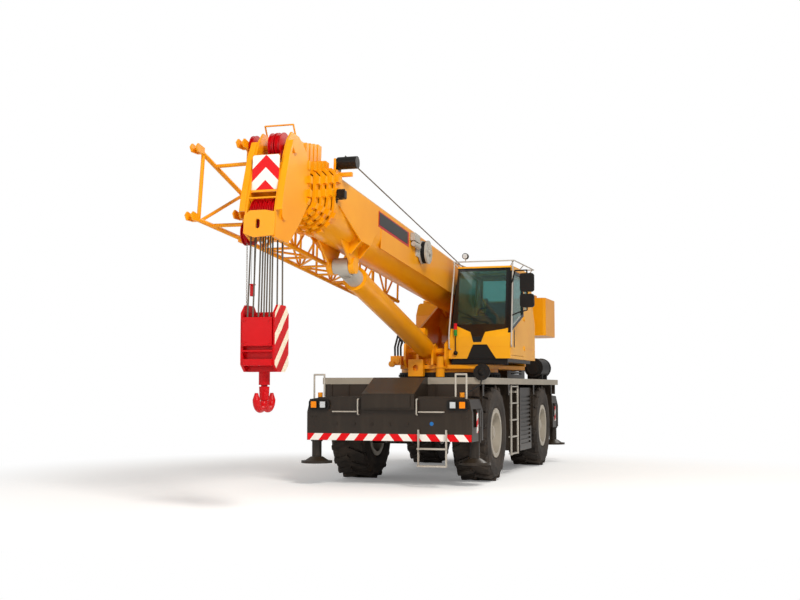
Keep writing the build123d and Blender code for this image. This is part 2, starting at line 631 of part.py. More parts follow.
def boom_outline(half, top, height, inset):
    h = half - inset
    t = top - inset
    low = top - height + half
    soft = max(70 - inset, 20)
    top_line = Polyline((h, low), (h, t - soft), (h - soft, t), (soft - h, t), (-h, t - soft), (-h, low))
    belly = RadiusArc((-h, low), (h, low), -h)
    return make_face(Wire([*top_line.edges(), belly]))


def boom_tube(level, x0, x1):
    half = BOOM_HALF - STEP * level
    top = BOOM_TOP - STEP * level
    height = BOOM_H - 2 * STEP * level
    plane = Plane((x0, 0, 0), x_dir=(0, 1, 0), z_dir=(1, 0, 0))
    outer = extrude(plane * boom_outline(half, top, height, 0), x1 - x0, dir=(1, 0, 0))
    inner = extrude(plane * boom_outline(half, top, height, WALL), x1 - x0, dir=(1, 0, 0))
    return outer - inner


def raised(shape):
    return Pos(PIVOT_X, BOOM_Y, PIVOT_Z) * Rot(0, -BOOM_ANGLE, 0) * shape


def collar(level, x0, x1, proud):
    half = BOOM_HALF - STEP * level
    top = BOOM_TOP - STEP * level
    height = BOOM_H - 2 * STEP * level
    plane = Plane((x0, 0, 0), x_dir=(0, 1, 0), z_dir=(1, 0, 0))
    outer = extrude(plane * boom_outline(half + proud, top + proud, height + 2 * proud, 0), x1 - x0, dir=(1, 0, 0))
    inner = extrude(plane * boom_outline(half, top, height, WALL - 1), x1 - x0, dir=(1, 0, 0))
    return outer - inner


def front_pads(level, x0, x1):
    half = BOOM_HALF - STEP * level
    top = BOOM_TOP - STEP * level
    centre = top - (BOOM_H - 2 * STEP * level) + half
    pads = []
    for s in (-1, 1):
        pads.append(block(x0, x1, s * 40, s * 110, top + 20, PAD_TOP - PAD_STEP * level))
        pads.append(block(x0, x1, s * 170, s * 240, top + 20, top + 150))
        for z in (top - 130, top - 330):
            pads.append(block(x0, x1, s * (half + 20), s * (half + 75), z - 55, z + 55))
    for i in range(7):
        angle = 22.5 * (i - 3)
        pads.append(Pos(0, 0, centre) * Rot(angle, 0, 0) * block(x0, x1, -42, 42, -half - 68, -half - 10))
    return pads


def boom_base():
    base = boom_tube(0, BASE_REAR, BASE_FRONT)
    base += collar(0, BASE_FRONT - 160, BASE_FRONT, 30)
    base += front_pads(0, BASE_FRONT - 150, BASE_FRONT - 10)
    for s in (-1, 1):
        outline = [(-190, -60), (-120, 170), (500, 560), (1300, 560), (1300, 60), (200, -190), (-60, -190)]
        base += slab_y(outline, s * (BOOM_HALF - 10), s * (BOOM_HALF + 10))
        base += rod_y(0, 0, 170, s * 200, s * (SIDE_GAP - 0.3))
        base += block(1299, 7050, s * (BOOM_HALF - 2), s * (BOOM_HALF + 6), -64, 269)
        base += slab_y([(9260, 235), (7150, 262), (7450, 30), (7600, -140), (8050, -150)], s * (BOOM_HALF - 2), s * (BOOM_HALF + 22))
        lug = slab_y([(LUG_ALONG - 420, -60), (LUG_ALONG + 800, -60), (LUG_ALONG + LUG_R, LUG_DROP), (LUG_ALONG - LUG_R, LUG_DROP)], s * 170, s * 200)
        lug += rod_y(LUG_ALONG, LUG_DROP, LUG_R, s * 138, s * 230)
        wing = [(s * 200, -60), (s * 200, -330), (s * 230, -350), (s * (BOOM_HALF + 22), -140), (s * (BOOM_HALF + 22), -60)]
        lug += slab_x(wing, LUG_ALONG - 200, LUG_ALONG - 170)
        lug += slab_x(wing, LUG_ALONG + 230, LUG_ALONG + 260)
        base += lug - boom_solid(0)
    base += block(BASE_FRONT - 420, BASE_FRONT - 180, 300, 335, BOOM_TOP, 900)
    base += rod_y(BASE_FRONT - 300, 850, 95, 331, 640)
    base += block(BASE_FRONT - 330, BASE_FRONT - 270, 240, 560, 640, 700)
    base += rod_y(3400, BOOM_TOP + 30, 25, -40, 40) + block(3380, 3420, -40, 40, BOOM_TOP - 1, BOOM_TOP + 30)
    return base - rod_y(0, 0, 80.1, -500, 500)


def boom_solid(level):
    half = BOOM_HALF - STEP * level
    plane = Plane((BASE_REAR, 0, 0), x_dir=(0, 1, 0), z_dir=(1, 0, 0))
    return extrude(plane * boom_outline(half - 1, BOOM_TOP - STEP * level - 1, BOOM_H - 2 * STEP * level - 2, 0), BASE_FRONT - BASE_REAR, dir=(1, 0, 0))


def boom_section(level):
    front = SECTION_FRONT[level - 1]
    section = boom_tube(level, 900 + 60 * level, front)
    section += collar(level, front - 120, front, 30)
    section += front_pads(level, front - 110, front - 10)
    section += collar(level, 960 + 60 * level, 1160 + 60 * level, STEP - WALL - 0.3)
    return section


def boom_head():
    level = 4
    half = BOOM_HALF - STEP * level
    low = BOOM_TOP - STEP * level - (BOOM_H - 2 * STEP * level)
    head = boom_tube(level, 1150, 9950)
    head += collar(level, 9850, 9950, 20) + collar(level, 1250, 1450, STEP - WALL - 0.3)
    head += front_pads(level, 9860, 9940)
    plate = [(9840, low + 100), (9840, 560), (10050, 760), (10300, 880), (10560, 880), (10680, 740), (10790, 480)]
    plate += [(10920, 0), (10990, -330), (10990, -640), (10800, -700), (10450, -640), (10150, -330)]
    flange = [(10640, 720), (10700, 720), (10810, 480), (10940, 0), (11000, -330), (10960, -330), (10890, 0), (10760, 480)]
    for s in (-1, 1):
        head += slab_y(plate, s * (half - 6), s * (half + 24))
        head += slab_y(flange, s * (half + 23), s * (half + 110))
        head += rod_y(TOP_SHEAVE[0], TOP_SHEAVE[1], 90, s * (half + 23), s * (half + 60))
        head += rod_y(LOW_SHEAVE[0], LOW_SHEAVE[1], 90, s * (half + 23), s * (half + 50))
        head += tube((10400, s * (half + 10), 870), (10500, s * (half + 10), 1010), 12)
    head += tube((10500, -half - 10, 1005), (10500, half + 10, 1005), 12)
    head += block(10860, 10872, 5 - half, half - 5, -20, 480) + block(10860, 10900, 5 - half, half - 5, -50, -20)
    head += rod_y(*TOP_SHEAVE, 40, -half - 175, half)
    head += rod_y(*LOW_SHEAVE, 40, -half, half) + rod_y(*AUX_SHEAVE, 30, -half - 190, 24 - half)
    head += rod_y(10935, -140, 14, -half - 20, half + 20)
    front = [(-half - 20, -640), (-half + 130, -700), (half + 20, -680), (half + 20, -360), (half - 120, -330)]
    front += [(60 - half, -330), (-half - 20, -400)]
    box = slab_x(front, 10985, 11020)
    box -= rod_x(-20, -480, 32, 10900, 11050) + rod_x(-20, -550, 32, 10900, 11050) + block(10900, 11050, -52, 12, -550, -480)
    head += box + block(10500, 10990, half - 20, half + 24, -700, -640)
    return head


def sheave(x, z, r, y, half, bore):
    wheel = rod_y(x, z, r, y - half, y + half)
    wheel -= ring_y(x, z, r + 5, r - 32, y - half + 10, y + half - 10)
    wheel -= rod_y(x, z, bore, y - half - 1, y + half + 1)
    return wheel


def head_sheaves():
    part = Part()
    for i in range(5):
        part += sheave(*LOW_SHEAVE, 215, -140 + 70 * i, 28, 40.3)
    for y in (-40, 60):
        part += sheave(*TOP_SHEAVE, 205, y, 40, 40.3)
    part += sheave(*TOP_SHEAVE, 185, -345, 30, 40.3)
    for y in (-345, -275):
        part += sheave(*AUX_SHEAVE, 165, y, 30, 30.3)
    return part


def jib():
    part = []
    corners = [(-512, 330), (-1050, 330), (-512, -330), (-1050, -330)]
    forks = [(-440, 700), (-1150, 680), (-440, -310), (-1170, -300)]
    faces = ((0, 1), (2, 3), (0, 2), (1, 3))
    start, end, tip = 3300, 9300, 10600
    bays = 8
    pitch = (end - start) / bays
    for (y, z), (fy, fz) in zip(corners, forks):
        part.append(tube((start - 40, y, z), (end, y, z), 36))
        part.append(block(end - 60, end + 60, y - 50, y + 50, z - 50, z + 50))
        part.append(tube((end + 20, y, z), (tip, fy, fz), 34))
        part.append(block(tip - 20, tip + 25, fy - 58, fy + 58, fz - 45, fz + 45))
        for g in (-1, 1):
            ear = [(tip + 10, fz - 45), (tip + 170, fz - 62), (tip + 225, fz), (tip + 170, fz + 62), (tip + 10, fz + 45)]
            part.append(slab_y(ear, fy + g * 34, fy + g * 58))
    for i in range(bays + 1):
        x = start + i * pitch
        for a, b in faces:
            part.append(tube((x, *corners[a]), (x, *corners[b]), 20))
    for i in range(bays):
        for a, b in faces:
            first, last = (b, a) if i % 2 else (a, b)
            part.append(tube((start + (i + 0.04) * pitch, *corners[first]), (start + (i + 0.96) * pitch, *corners[last]), 18))
    for a, b in ((0, 2), (1, 3)):
        part.append(tube((tip - 90, *forks[a]), (tip - 90, *forks[b]), 28))
        part.append(tube((end + 80, *corners[a]), (tip - 150, *forks[b]), 24))
    part.append(tube((tip - 420, -450, 580), (tip - 420, -1120, 566), 28))
    part.append(tube((tip - 420, -450, -318), (tip - 420, -1130, -312), 28))
    for x in (5300, 8500):
        part.append(block(x, x + 80, -BOOM_HALF - 6, -520, 285, 375))
        part.append(block(x, x + 80, -BOOM_HALF - 6, -430, 270, 376))
    return Part() + [raised(piece) for piece in part]


def hose_reel():
    reel = rod_y(4780, 320, 215, 408, 440) + rod_y(4780, 320, 215, 520, 552) + rod_y(4780, 320, 120, 439, 521)
    reel += block(4560, 5090, BOOM_HALF + 6, 409, 200, 440)
    reel += block(5080, 5420, BOOM_HALF + 6, 470, 420, 560) + rod_x(440, 360, 45, 5060, 5400)
    return reel


# Luffing cylinder, in the world

def lug_point():
    a = radians(BOOM_ANGLE)
    return (PIVOT_X + LUG_ALONG * cos(a) - LUG_DROP * sin(a), PIVOT_Z + LUG_ALONG * sin(a) + LUG_DROP * cos(a))


def on_cylinder(shape):
    x, z = lug_point()
    tilt = degrees(atan2(z - CYL_FOOT_Z, x - CYL_FOOT_X))
    return Pos(CYL_FOOT_X, BOOM_Y, CYL_FOOT_Z) * Rot(0, -tilt, 0) * shape


def cylinder_length():
    x, z = lug_point()
    return hypot(x - CYL_FOOT_X, z - CYL_FOOT_Z)


def cylinder_barrel():
    end = cylinder_length() - 610
    barrel = rod_x(0, 0, 190, 310, end) - rod_x(0, 0, 160, 360, end + 1)
    barrel += ring_x(0, 0, 205, 146, end - 140, end)
    barrel += rod_y(0, 0, 140, -125, 125) + block(60, 320, -125, 125, -120, 120)
    barrel -= rod_y(0, 0, 60.1, -130, 130)
    barrel += rod_x(0, 215, 22, 500, end - 60)
    barrel += block(420, 620, -90, 90, 185, 300)
    return on_cylinder(barrel)


def cylinder_rod():
    end = cylinder_length()
    rod = rod_x(0, 0, 145, 650, end - 200)
    rod += rod_x(0, 0, 158, 560, 651)
    rod += rod_y(end, 0, LUG_R, -130, 130) + block(end - 240, end - 60, -110, 110, -100, 100)
    rod -= rod_y(end, 0, 50.1, -140, 140)
    return on_cylinder(rod)


# Hook block and ropes

HOOK_X = 8800
HOOK_TOP = 2810
HOOK_LOW = 1915


def hook_block():
    part = Part()
    for s in (-1, 1):
        y0, y1 = sorted((s * 215, s * 250))
        part += slab_y([(HOOK_X - 230, 2010), (HOOK_X - 120, HOOK_LOW), (HOOK_X + 120, HOOK_LOW), (HOOK_X + 230, 2010), (HOOK_X + 230, 2700), (HOOK_X + 120, HOOK_TOP), (HOOK_X - 120, HOOK_TOP), (HOOK_X - 230, 2700)], y0, y1)
    for i in range(5):
        part += sheave(HOOK_X, 2480, 240, -160 + 80 * i, 30, 30)
    part += rod_y(HOOK_X, 2480, 42, -255, 255)
    part += block(HOOK_X - 90, HOOK_X + 90, -216, 216, HOOK_LOW, HOOK_LOW + 120)
    part -= rod_z(HOOK_X, 0, 46, HOOK_LOW - 1, HOOK_LOW + 121)
    return Pos(0, BOOM_Y, 0) * part


def hook():
    shank = rod_z(HOOK_X, 0, 44, 1700, HOOK_LOW + 140)
    shank += rod_z(HOOK_X, 0, 80, HOOK_LOW + 120.3, HOOK_LOW + 160)
    shank += rod_z(HOOK_X, 0, 75, 1740, HOOK_LOW - 1)
    for s in (-1, 1):
        bend = Pos(HOOK_X + s * 125, 0, 1545) * Rot(90, 0, 0) * Torus(125, 50)
        bend -= block(HOOK_X - 400, HOOK_X + 400, -100, 100, 1545, 1900)
        tip = Pos(HOOK_X + s * 250, 0, 1590) * Cone(50, 22, 90)
        shank += bend + tip
    shank += Pos(HOOK_X, 0, 1630) * Cone(62, 70, 180)
    return Pos(0, BOOM_Y, 0) * shank


def hoist_ropes():
    ropes = Part()
    a = radians(BOOM_ANGLE)
    x_top = PIVOT_X + LOW_SHEAVE[0] * cos(a) - LOW_SHEAVE[1] * sin(a)
    z_top = PIVOT_Z + LOW_SHEAVE[0] * sin(a) + LOW_SHEAVE[1] * cos(a)
    for i in range(5):
        for s in (-1, 1):
            top = (x_top + s * 195, BOOM_Y - 140 + 70 * i, z_top)
            ropes += tube(top, (HOOK_X + s * 220, BOOM_Y - 160 + 80 * i, 2480), 11)
    return ropes


TYRE_SIDES = 36
LUGS = 18


# Export

def build_all():
    nodes = {}
    plain_tyre = tyre()
    nodes["chassis_frame"] = chassis_frame()
    front_box = outrigger_box(*FRONT_BOX, FRONT_BEAM_X, (-1, 1))
    nodes["outrigger_boxes"] = Part() + [front_box, outrigger_box(*REAR_BOX, REAR_BEAM_X, (1, -1))]
    for name, x, side in (("fr", FRONT_BEAM_X[0], -1), ("fl", FRONT_BEAM_X[1], 1), ("rr", REAR_BEAM_X[1], -1), ("rl", REAR_BEAM_X[0], 1)):
        nodes["beam_" + name] = outrigger_beam(x, side)
        nodes["jack_" + name] = outrigger_jack(x, side)
    nodes["deck"] = deck()
    nodes["fenders"] = fenders()
    nodes["engine_hood"] = engine_hood()
    nodes["engine_block"] = block(-3900, -2700, -350, 350, DECK_TOP, 2350)
    nodes["cooler_box"] = side_box(-1310, -150, 1)
    nodes["fuel_tank"] = Pos(-600, 0, 0) * fuel_tank()
    nodes["side_steps"] = side_steps()
    nodes["front_furniture"] = front_furniture()
    nodes["front_lamps"] = front_lamps()
    nodes["locker"] = locker()
    for name, x in (("front", FRONT_AXLE_X), ("rear", REAR_AXLE_X)):
        for mark, s in (("l", 1), ("r", -1)):
            nodes["knuckle_" + name + "_" + mark] = knuckle(x, s)
            nodes["rim_" + name + "_" + mark] = rim(x, s)
            nodes["tyre_" + name + "_" + mark] = Pos(x, s * WHEEL_Y, TYRE_R) * Rot(90, 0, 0) * plain_tyre
    nodes["axles"] = Part() + [axle(FRONT_AXLE_X, True), axle(REAR_AXLE_X, True)]
    nodes["air_cleaner"] = air_cleaner()
    nodes["slew_ring"] = slew_ring()
    nodes["turntable"] = turntable()
    nodes["slew_drive"] = slew_drive()
    nodes["counterweight"] = counterweight()
    nodes["winch_main"] = winch(3420, -2665, 220, 360)
    nodes["cab_shell"] = cab_shell()
    nodes["cab_door"] = cab_door()
    nodes["door_glass"] = door_glass()
    nodes["cab_glass"] = cab_glass()
    nodes["cab_interior"] = cab_interior()
    nodes["cab_trim"] = cab_trim()
    nodes["mirrors"] = mirrors()
    nodes["right_body"] = right_body()
    nodes["boom_base"] = raised(boom_base())
    for level in (1, 2, 3):
        nodes["boom_" + str(level + 1)] = raised(boom_section(level))
    nodes["boom_head"] = raised(boom_head())
    nodes["head_sheaves"] = raised(head_sheaves())
    nodes["hose_reel"] = raised(hose_reel())
    nodes["jib"] = jib()
    nodes["cylinder_barrel"] = cylinder_barrel()
    nodes["cylinder_rod"] = cylinder_rod()
    nodes["hook_block"] = hook_block()
    nodes["hook"] = hook()
    nodes["hoist_ropes"] = hoist_ropes()
    return nodes


os.makedirs("parts", exist_ok=True)
shift = Pos(-(REAR_END + FRONT_END) / 2, -(RIGHT_SIDE + LEFT_SIDE) / 2, 0)
for name, shape in build_all().items():
    export_step(shift * shape, "parts/" + name + ".step")
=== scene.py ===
import math

import bpy
from mathutils import Matrix, Vector


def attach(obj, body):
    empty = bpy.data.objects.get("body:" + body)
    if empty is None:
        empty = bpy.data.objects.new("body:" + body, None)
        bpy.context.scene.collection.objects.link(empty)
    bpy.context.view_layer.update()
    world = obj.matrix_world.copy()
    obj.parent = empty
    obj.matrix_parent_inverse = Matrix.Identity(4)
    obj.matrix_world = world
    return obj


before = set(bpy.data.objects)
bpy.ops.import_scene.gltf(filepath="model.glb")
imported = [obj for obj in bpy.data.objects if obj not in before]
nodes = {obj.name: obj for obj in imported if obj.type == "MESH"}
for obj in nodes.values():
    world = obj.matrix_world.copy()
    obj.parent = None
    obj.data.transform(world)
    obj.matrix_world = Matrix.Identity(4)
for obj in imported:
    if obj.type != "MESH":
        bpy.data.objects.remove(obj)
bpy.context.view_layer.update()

# The vehicle was measured from its slewing centre on the ground.
# The frame's origin is under the middle of its box, so each place has MIDDLE taken off.
MIDDLE = Vector((2.300, 0.165, 0))


# Tyres: radial earthmover tyres, black natural rubber moulded with deep lugs.
# Road dust has dried grey-brown in the tread and on the shoulder, so the rubber never looks black.
def linear(code):
    """A six-figure sRGB colour as linear red, green, blue and alpha."""
    parts = [int(code[i : i + 2], 16) / 255 for i in (0, 2, 4)]
    return [p / 12.92 if p <= 0.04045 else ((p + 0.055) / 1.055) ** 2.4 for p in parts] + [1]


def add_node(tree, kind, inputs=None, **settings):
    """Adds one node with its settings. An input is a value or another node's output."""
    item = tree.nodes.new(kind)
    for key, value in settings.items():
        setattr(item, key, value)
    for key, value in (inputs or {}).items():
        if isinstance(value, bpy.types.NodeSocket):
            tree.links.new(value, item.inputs[key])
        else:
            item.inputs[key].default_value = value
    return item


def new_material(name):
    """An empty material, its node tree and the object's own coordinates in it."""
    material = bpy.data.materials.new(name)
    material.use_nodes = True
    material.node_tree.nodes.clear()
    place = add_node(material.node_tree, "ShaderNodeTexCoord").outputs["Object"]
    return material, material.node_tree, place


def blend(tree, factor, before, after):
    """One colour where the factor is 0 and another where it is 1."""
    item = add_node(tree, "ShaderNodeMix", {0: factor, 6: before, 7: after}, data_type="RGBA")
    return item.outputs[2]


def finish_material(tree, surface):
    """Ends a material in its surface."""
    add_node(tree, "ShaderNodeOutputMaterial", {"Surface": surface.outputs[0]})


def wear(node_names, material):
    """Gives CAD nodes one material."""
    for name in node_names:
        nodes[name].data.materials.clear()
        nodes[name].data.materials.append(material)


DUST_PATCH = 0.35
RUBBER_GRIT = 0.004
rubber, tree, place = new_material("moulded_tyre_rubber")
drift = {"Vector": place, "Scale": 1 / DUST_PATCH, "Detail": 6, "Roughness": 0.65}
patches = add_node(tree, "ShaderNodeTexNoise", drift)
dust = add_node(tree, "ShaderNodeMapRange", {0: patches.outputs[0], 1: 0.42, 2: 0.68, 3: 0.12, 4: 0.75})
tint = blend(tree, dust.outputs[0], linear("211B17"), linear("4A3E33"))
grit = add_node(tree, "ShaderNodeTexNoise", {"Vector": place, "Scale": 1 / RUBBER_GRIT, "Detail": 2})
bump = add_node(tree, "ShaderNodeBump", {"Strength": 0.25, "Distance": 0.002, "Height": grit.outputs[0]})
look = {"Base Color": tint, "Roughness": 0.85, "Normal": bump.outputs[0]}
surface = add_node(tree, "ShaderNodeBsdfPrincipled", look)
finish_material(tree, surface)
wear([n for n in nodes if n.startswith("tyre")], rubber)


# Steelwork paint: two-pack polyurethane sprayed on plate, glossy when new.
# It gives a faint orange peel, clouds of fading, rain streaks below each edge and dust where it lies level.
def paint(name, colour, dark, dust_colour, roughness, coat, dust_low, dust_high):
    """A sprayed paint. Dust thins out between the heights dust_low and dust_high."""
    fade_size, streak_width, streak_length, peel_size = 1.1, 0.14, 1.3, 0.006
    glint = 0.22
    material, tree, place = new_material(name)
    cloud = add_node(tree, "ShaderNodeTexNoise", {"Vector": place, "Scale": 1 / fade_size, "Detail": 5})
    fade = add_node(tree, "ShaderNodeMapRange", {0: cloud.outputs[0], 1: 0.35, 2: 0.7})
    coat_colour = blend(tree, fade.outputs[0], linear(colour), linear(dark))
    stretch = (1 / streak_width, 1 / streak_width, 1 / streak_length)
    drawn = add_node(tree, "ShaderNodeMapping", {"Vector": place, "Scale": stretch})
    streaks = add_node(tree, "ShaderNodeTexNoise", {"Vector": drawn.outputs[0], "Scale": 1, "Detail": 3})
    axes = add_node(tree, "ShaderNodeSeparateXYZ", {0: place})
    low = add_node(tree, "ShaderNodeMapRange", {0: axes.outputs[2], 1: dust_low, 2: dust_high, 3: 1, 4: 0})
    normal = add_node(tree, "ShaderNodeNewGeometry")
    up = add_node(tree, "ShaderNodeSeparateXYZ", {0: normal.outputs["Normal"]})
    level = add_node(tree, "ShaderNodeMapRange", {0: up.outputs[2], 1: 0.6, 2: 1.0, 3: 0, 4: 0.2})
    grime = add_node(tree, "ShaderNodeMapRange", {0: streaks.outputs[0], 1: 0.5, 2: 0.8, 3: 0.0, 4: 0.22})
    both = add_node(tree, "ShaderNodeMath", {0: grime.outputs[0], 1: low.outputs[0]}, operation="MULTIPLY")
    dust = add_node(tree, "ShaderNodeMath", {0: both.outputs[0], 1: level.outputs[0]}, operation="ADD", use_clamp=True)
    final = blend(tree, dust.outputs[0], coat_colour, linear(dust_colour))
    peel = add_node(tree, "ShaderNodeTexNoise", {"Vector": place, "Scale": 1 / peel_size, "Detail": 1})
    bump = add_node(tree, "ShaderNodeBump", {"Strength": 0.06, "Distance": 0.001, "Height": peel.outputs[0]})
    gloss = add_node(tree, "ShaderNodeMapRange", {0: dust.outputs[0], 3: roughness, 4: 0.8})
    look = {"Base Color": final, "Roughness": gloss.outputs[0], "Specular IOR Level": glint}
    look |= {"Coat Weight": coat, "Coat Roughness": 0.12, "Normal": bump.outputs[0]}
    finish_material(tree, add_node(tree, "ShaderNodeBsdfPrincipled", look))
    return material


# Rims: three-piece steel rims in warm grey enamel, dulled by brake dust.
# Each is held by a ring of nuts on the hub flange, with a pressed cap over the planetary hub.
WHEEL_RADIUS = 0.875
FRONT_AXLE, REAR_AXLE, HALF_TRACK = 2.15, -2.43, 1.15
WHEEL_PLACES = {"front_l": (FRONT_AXLE, HALF_TRACK), "front_r": (FRONT_AXLE, -HALF_TRACK)}
WHEEL_PLACES |= {"rear_l": (REAR_AXLE, HALF_TRACK), "rear_r": (REAR_AXLE, -HALF_TRACK)}
FLANGE_OUT = 0.190
NUTS = 20
NUT_CIRCLE = 0.160
rim_enamel = paint("rim_enamel", "BDB5A7", "A79E90", "6E6254", 0.45, 0.1, 0.2, 1.6)
wear([n for n in nodes if n.startswith("rim")], rim_enamel)


def join(pieces, name, material, body):
    """Joins finished pieces into one that rides on a body."""
    bpy.ops.object.select_all(action="DESELECT")
    for piece in pieces:
        piece.select_set(True)
    bpy.context.view_layer.objects.active = pieces[0]
    if len(pieces) > 1:
        bpy.ops.object.join()
    piece = bpy.context.active_object
    bpy.ops.object.transform_apply(location=True, rotation=True, scale=True)
    piece.name = name
    piece.data.materials.clear()
    piece.data.materials.append(material)
    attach(piece, body)
    return piece


def turned(place, radius, depth, corners, axis, soft):
    """A round or many-sided bar along an axis, its edges bevelled."""
    turn = {"x": (0, math.pi / 2, 0), "y": (math.pi / 2, 0, 0), "z": (0, 0, 0)}[axis]
    bpy.ops.object.select_all(action="DESELECT")
    bpy.ops.mesh.primitive_cylinder_add(vertices=corners, radius=radius, depth=depth, location=place, rotation=turn)
    piece = bpy.context.active_object
    bpy.ops.object.mode_set(mode="EDIT")
    bpy.ops.mesh.select_all(action="SELECT")
    bpy.ops.mesh.bevel(offset=soft, segments=1, affect="EDGES")
    bpy.ops.object.mode_set(mode="OBJECT")
    return piece


for wheel, (x, y) in WHEEL_PLACES.items():
    side = 1 if y > 0 else -1
    flange = y + side * FLANGE_OUT
    centre = Vector((x, flange, WHEEL_RADIUS)) - MIDDLE
    parts = []
    for i in range(NUTS):
        angle = 2 * math.pi * i / NUTS
        seat = centre + Vector((NUT_CIRCLE * math.cos(angle), side * 0.012, NUT_CIRCLE * math.sin(angle)))
        parts.append(turned(seat, 0.015, 0.030, 6, "y", 0.002))
    parts.append(turned(centre + Vector((0, side * 0.075, 0)), 0.085, 0.020, 24, "y", 0.006))
    join(parts, "wheel_nuts_" + wheel, rim_enamel, "wheel_" + wheel)


# Carrier: welded plate in dark umber enamel, with splashed mud along its lower edges.
# The deck edge and its walkway are in warm grey enamel.
umber = paint("umber_chassis_enamel", "2E251C", "261E17", "6B5C4B", 0.42, 0.25, 0.4, 1.9)
CARRIER = ["chassis_frame", "outrigger_boxes", "fenders", "engine_hood", "cooler_box"]
CARRIER += ["fuel_tank", "locker", "axles", "engine_block"]
CARRIER += [n for n in nodes if n.startswith(("beam", "jack", "knuckle"))]
wear(CARRIER, umber)
DECK_BAND_BOTTOM = 1.765
warm_grey = paint("warm_grey_deck_enamel", "A89F90", "9C9384", "6B5C4B", 0.5, 0.1, 0.4, 1.9)


def region(tree, place, low, high):
    """1 inside a box of the vehicle, 0 outside it."""
    middle = (Vector(low) + Vector(high)) / 2 - MIDDLE
    half = (Vector(high) - Vector(low)) / 2
    away = add_node(tree, "ShaderNodeVectorMath", {0: place, 1: middle}, operation="SUBTRACT")
    away = add_node(tree, "ShaderNodeVectorMath", {0: away.outputs[0]}, operation="ABSOLUTE")
    away = add_node(tree, "ShaderNodeVectorMath", {0: away.outputs[0], 1: half}, operation="SUBTRACT")
    axes = add_node(tree, "ShaderNodeSeparateXYZ", {0: away.outputs[0]})
    far = add_node(tree, "ShaderNodeMath", {0: axes.outputs[0], 1: axes.outputs[1]}, operation="MAXIMUM")
    far = add_node(tree, "ShaderNodeMath", {0: far.outputs[0], 1: axes.outputs[2]}, operation="MAXIMUM")
    return add_node(tree, "ShaderNodeMath", {0: far.outputs[0], 1: 0.0}, operation="LESS_THAN").outputs[0]


def opened(material):
    """The tree, the shader and the object's own coordinates of a finished material."""
    tree = material.node_tree
    shader = next(n for n in tree.nodes if n.type == "BSDF_PRINCIPLED")
    return tree, shader, next(n for n in tree.nodes if n.type == "TEX_COORD").outputs["Object"]


def overlay(tree, shader, mask, colour):
    """Lays a colour over a shader's own where the mask is 1."""
    before = shader.inputs["Base Color"].links[0].from_socket
    tree.links.new(blend(tree, mask, before, linear(colour)), shader.inputs["Base Color"])


def patch(material, low, high, colour, roughness=None):
    """Paints a box-shaped region of a finished material another colour."""
    tree, shader, place = opened(material)
    inside = region(tree, place, low, high)
    overlay(tree, shader, inside, colour)
    if roughness is not None:
        before = shader.inputs["Roughness"].links[0].from_socket
        mix = add_node(tree, "ShaderNodeMix", {0: inside, 2: before, 3: roughness}, data_type="FLOAT")
        tree.links.new(mix.outputs[0], shader.inputs["Roughness"])


BEYOND = 20
patch(warm_grey, (-BEYOND, -BEYOND, 0), (BEYOND, BEYOND, DECK_BAND_BOTTOM), "3A3028")
wear(["deck"], warm_grey)

# Reflective tape: red and white prismatic film on thin aluminium plates, fixed to the boxes.
# The front and rear bands lean towards the middle, where a white triangle points up.
TAPE_THICK = 0.006
FILM_CELL = 0.006
PLATE_EDGE = 0.0015


def plate(place, size, soft, turn=None):
    """A flat plate with bevelled edges, turned about its own middle."""
    bpy.ops.object.select_all(action="DESELECT")
    bpy.ops.mesh.primitive_cube_add(size=1, location=(0, 0, 0))
    piece = bpy.context.active_object
    piece.scale = size
    bpy.ops.object.transform_apply(location=False, rotation=False, scale=True)
    bpy.ops.object.mode_set(mode="EDIT")
    bpy.ops.mesh.select_all(action="SELECT")
    bpy.ops.mesh.bevel(offset=soft, segments=2, affect="EDGES")
    bpy.ops.object.mode_set(mode="OBJECT")
    piece.matrix_world = Matrix.Translation(Vector(place)) @ (turn or Matrix.Identity(4))
    return piece


def tape(name, across, middle, start, slope, period):
    """Striped film, mirrored about its middle.

    Across is the direction that the stripes cross, and they rise with the slope.
    """
    material, tree, place = new_material(name)
    away = add_node(tree, "ShaderNodeVectorMath", {0: place, 1: Vector(middle) - MIDDLE}, operation="SUBTRACT")
    shift = add_node(tree, "ShaderNodeVectorMath", {0: away.outputs[0], 1: across}, operation="DOT_PRODUCT")
    shift = add_node(tree, "ShaderNodeMath", {0: shift.outputs["Value"]}, operation="ABSOLUTE")
    axes = add_node(tree, "ShaderNodeSeparateXYZ", {0: away.outputs[0]})
    lean = {0: axes.outputs[2], 1: slope, 2: shift.outputs[0]}
    rise = add_node(tree, "ShaderNodeMath", lean, operation="MULTIPLY_ADD")
    count = add_node(tree, "ShaderNodeMath", {0: rise.outputs[0], 1: start}, operation="ADD")
    count = add_node(tree, "ShaderNodeMath", {0: count.outputs[0], 1: period}, operation="DIVIDE")
    stripe = add_node(tree, "ShaderNodeMath", {0: count.outputs[0]}, operation="FRACT")
    white = add_node(tree, "ShaderNodeMath", {0: stripe.outputs[0], 1: 0.5}, operation="LESS_THAN")
    colour = blend(tree, white.outputs[0], linear("DC000C"), linear("F2ECE4"))
    cells = add_node(tree, "ShaderNodeTexVoronoi", {"Vector": place, "Scale": 1 / FILM_CELL})
    bump = add_node(tree, "ShaderNodeBump", {"Strength": 0.1, "Distance": 0.0005, "Height": cells.outputs[0]})
    look = {"Base Color": colour, "Roughness": 0.3, "Specular IOR Level": 0.2, "Normal": bump.outputs[0]}
    finish_material(tree, add_node(tree, "ShaderNodeBsdfPrincipled", look))
    return material


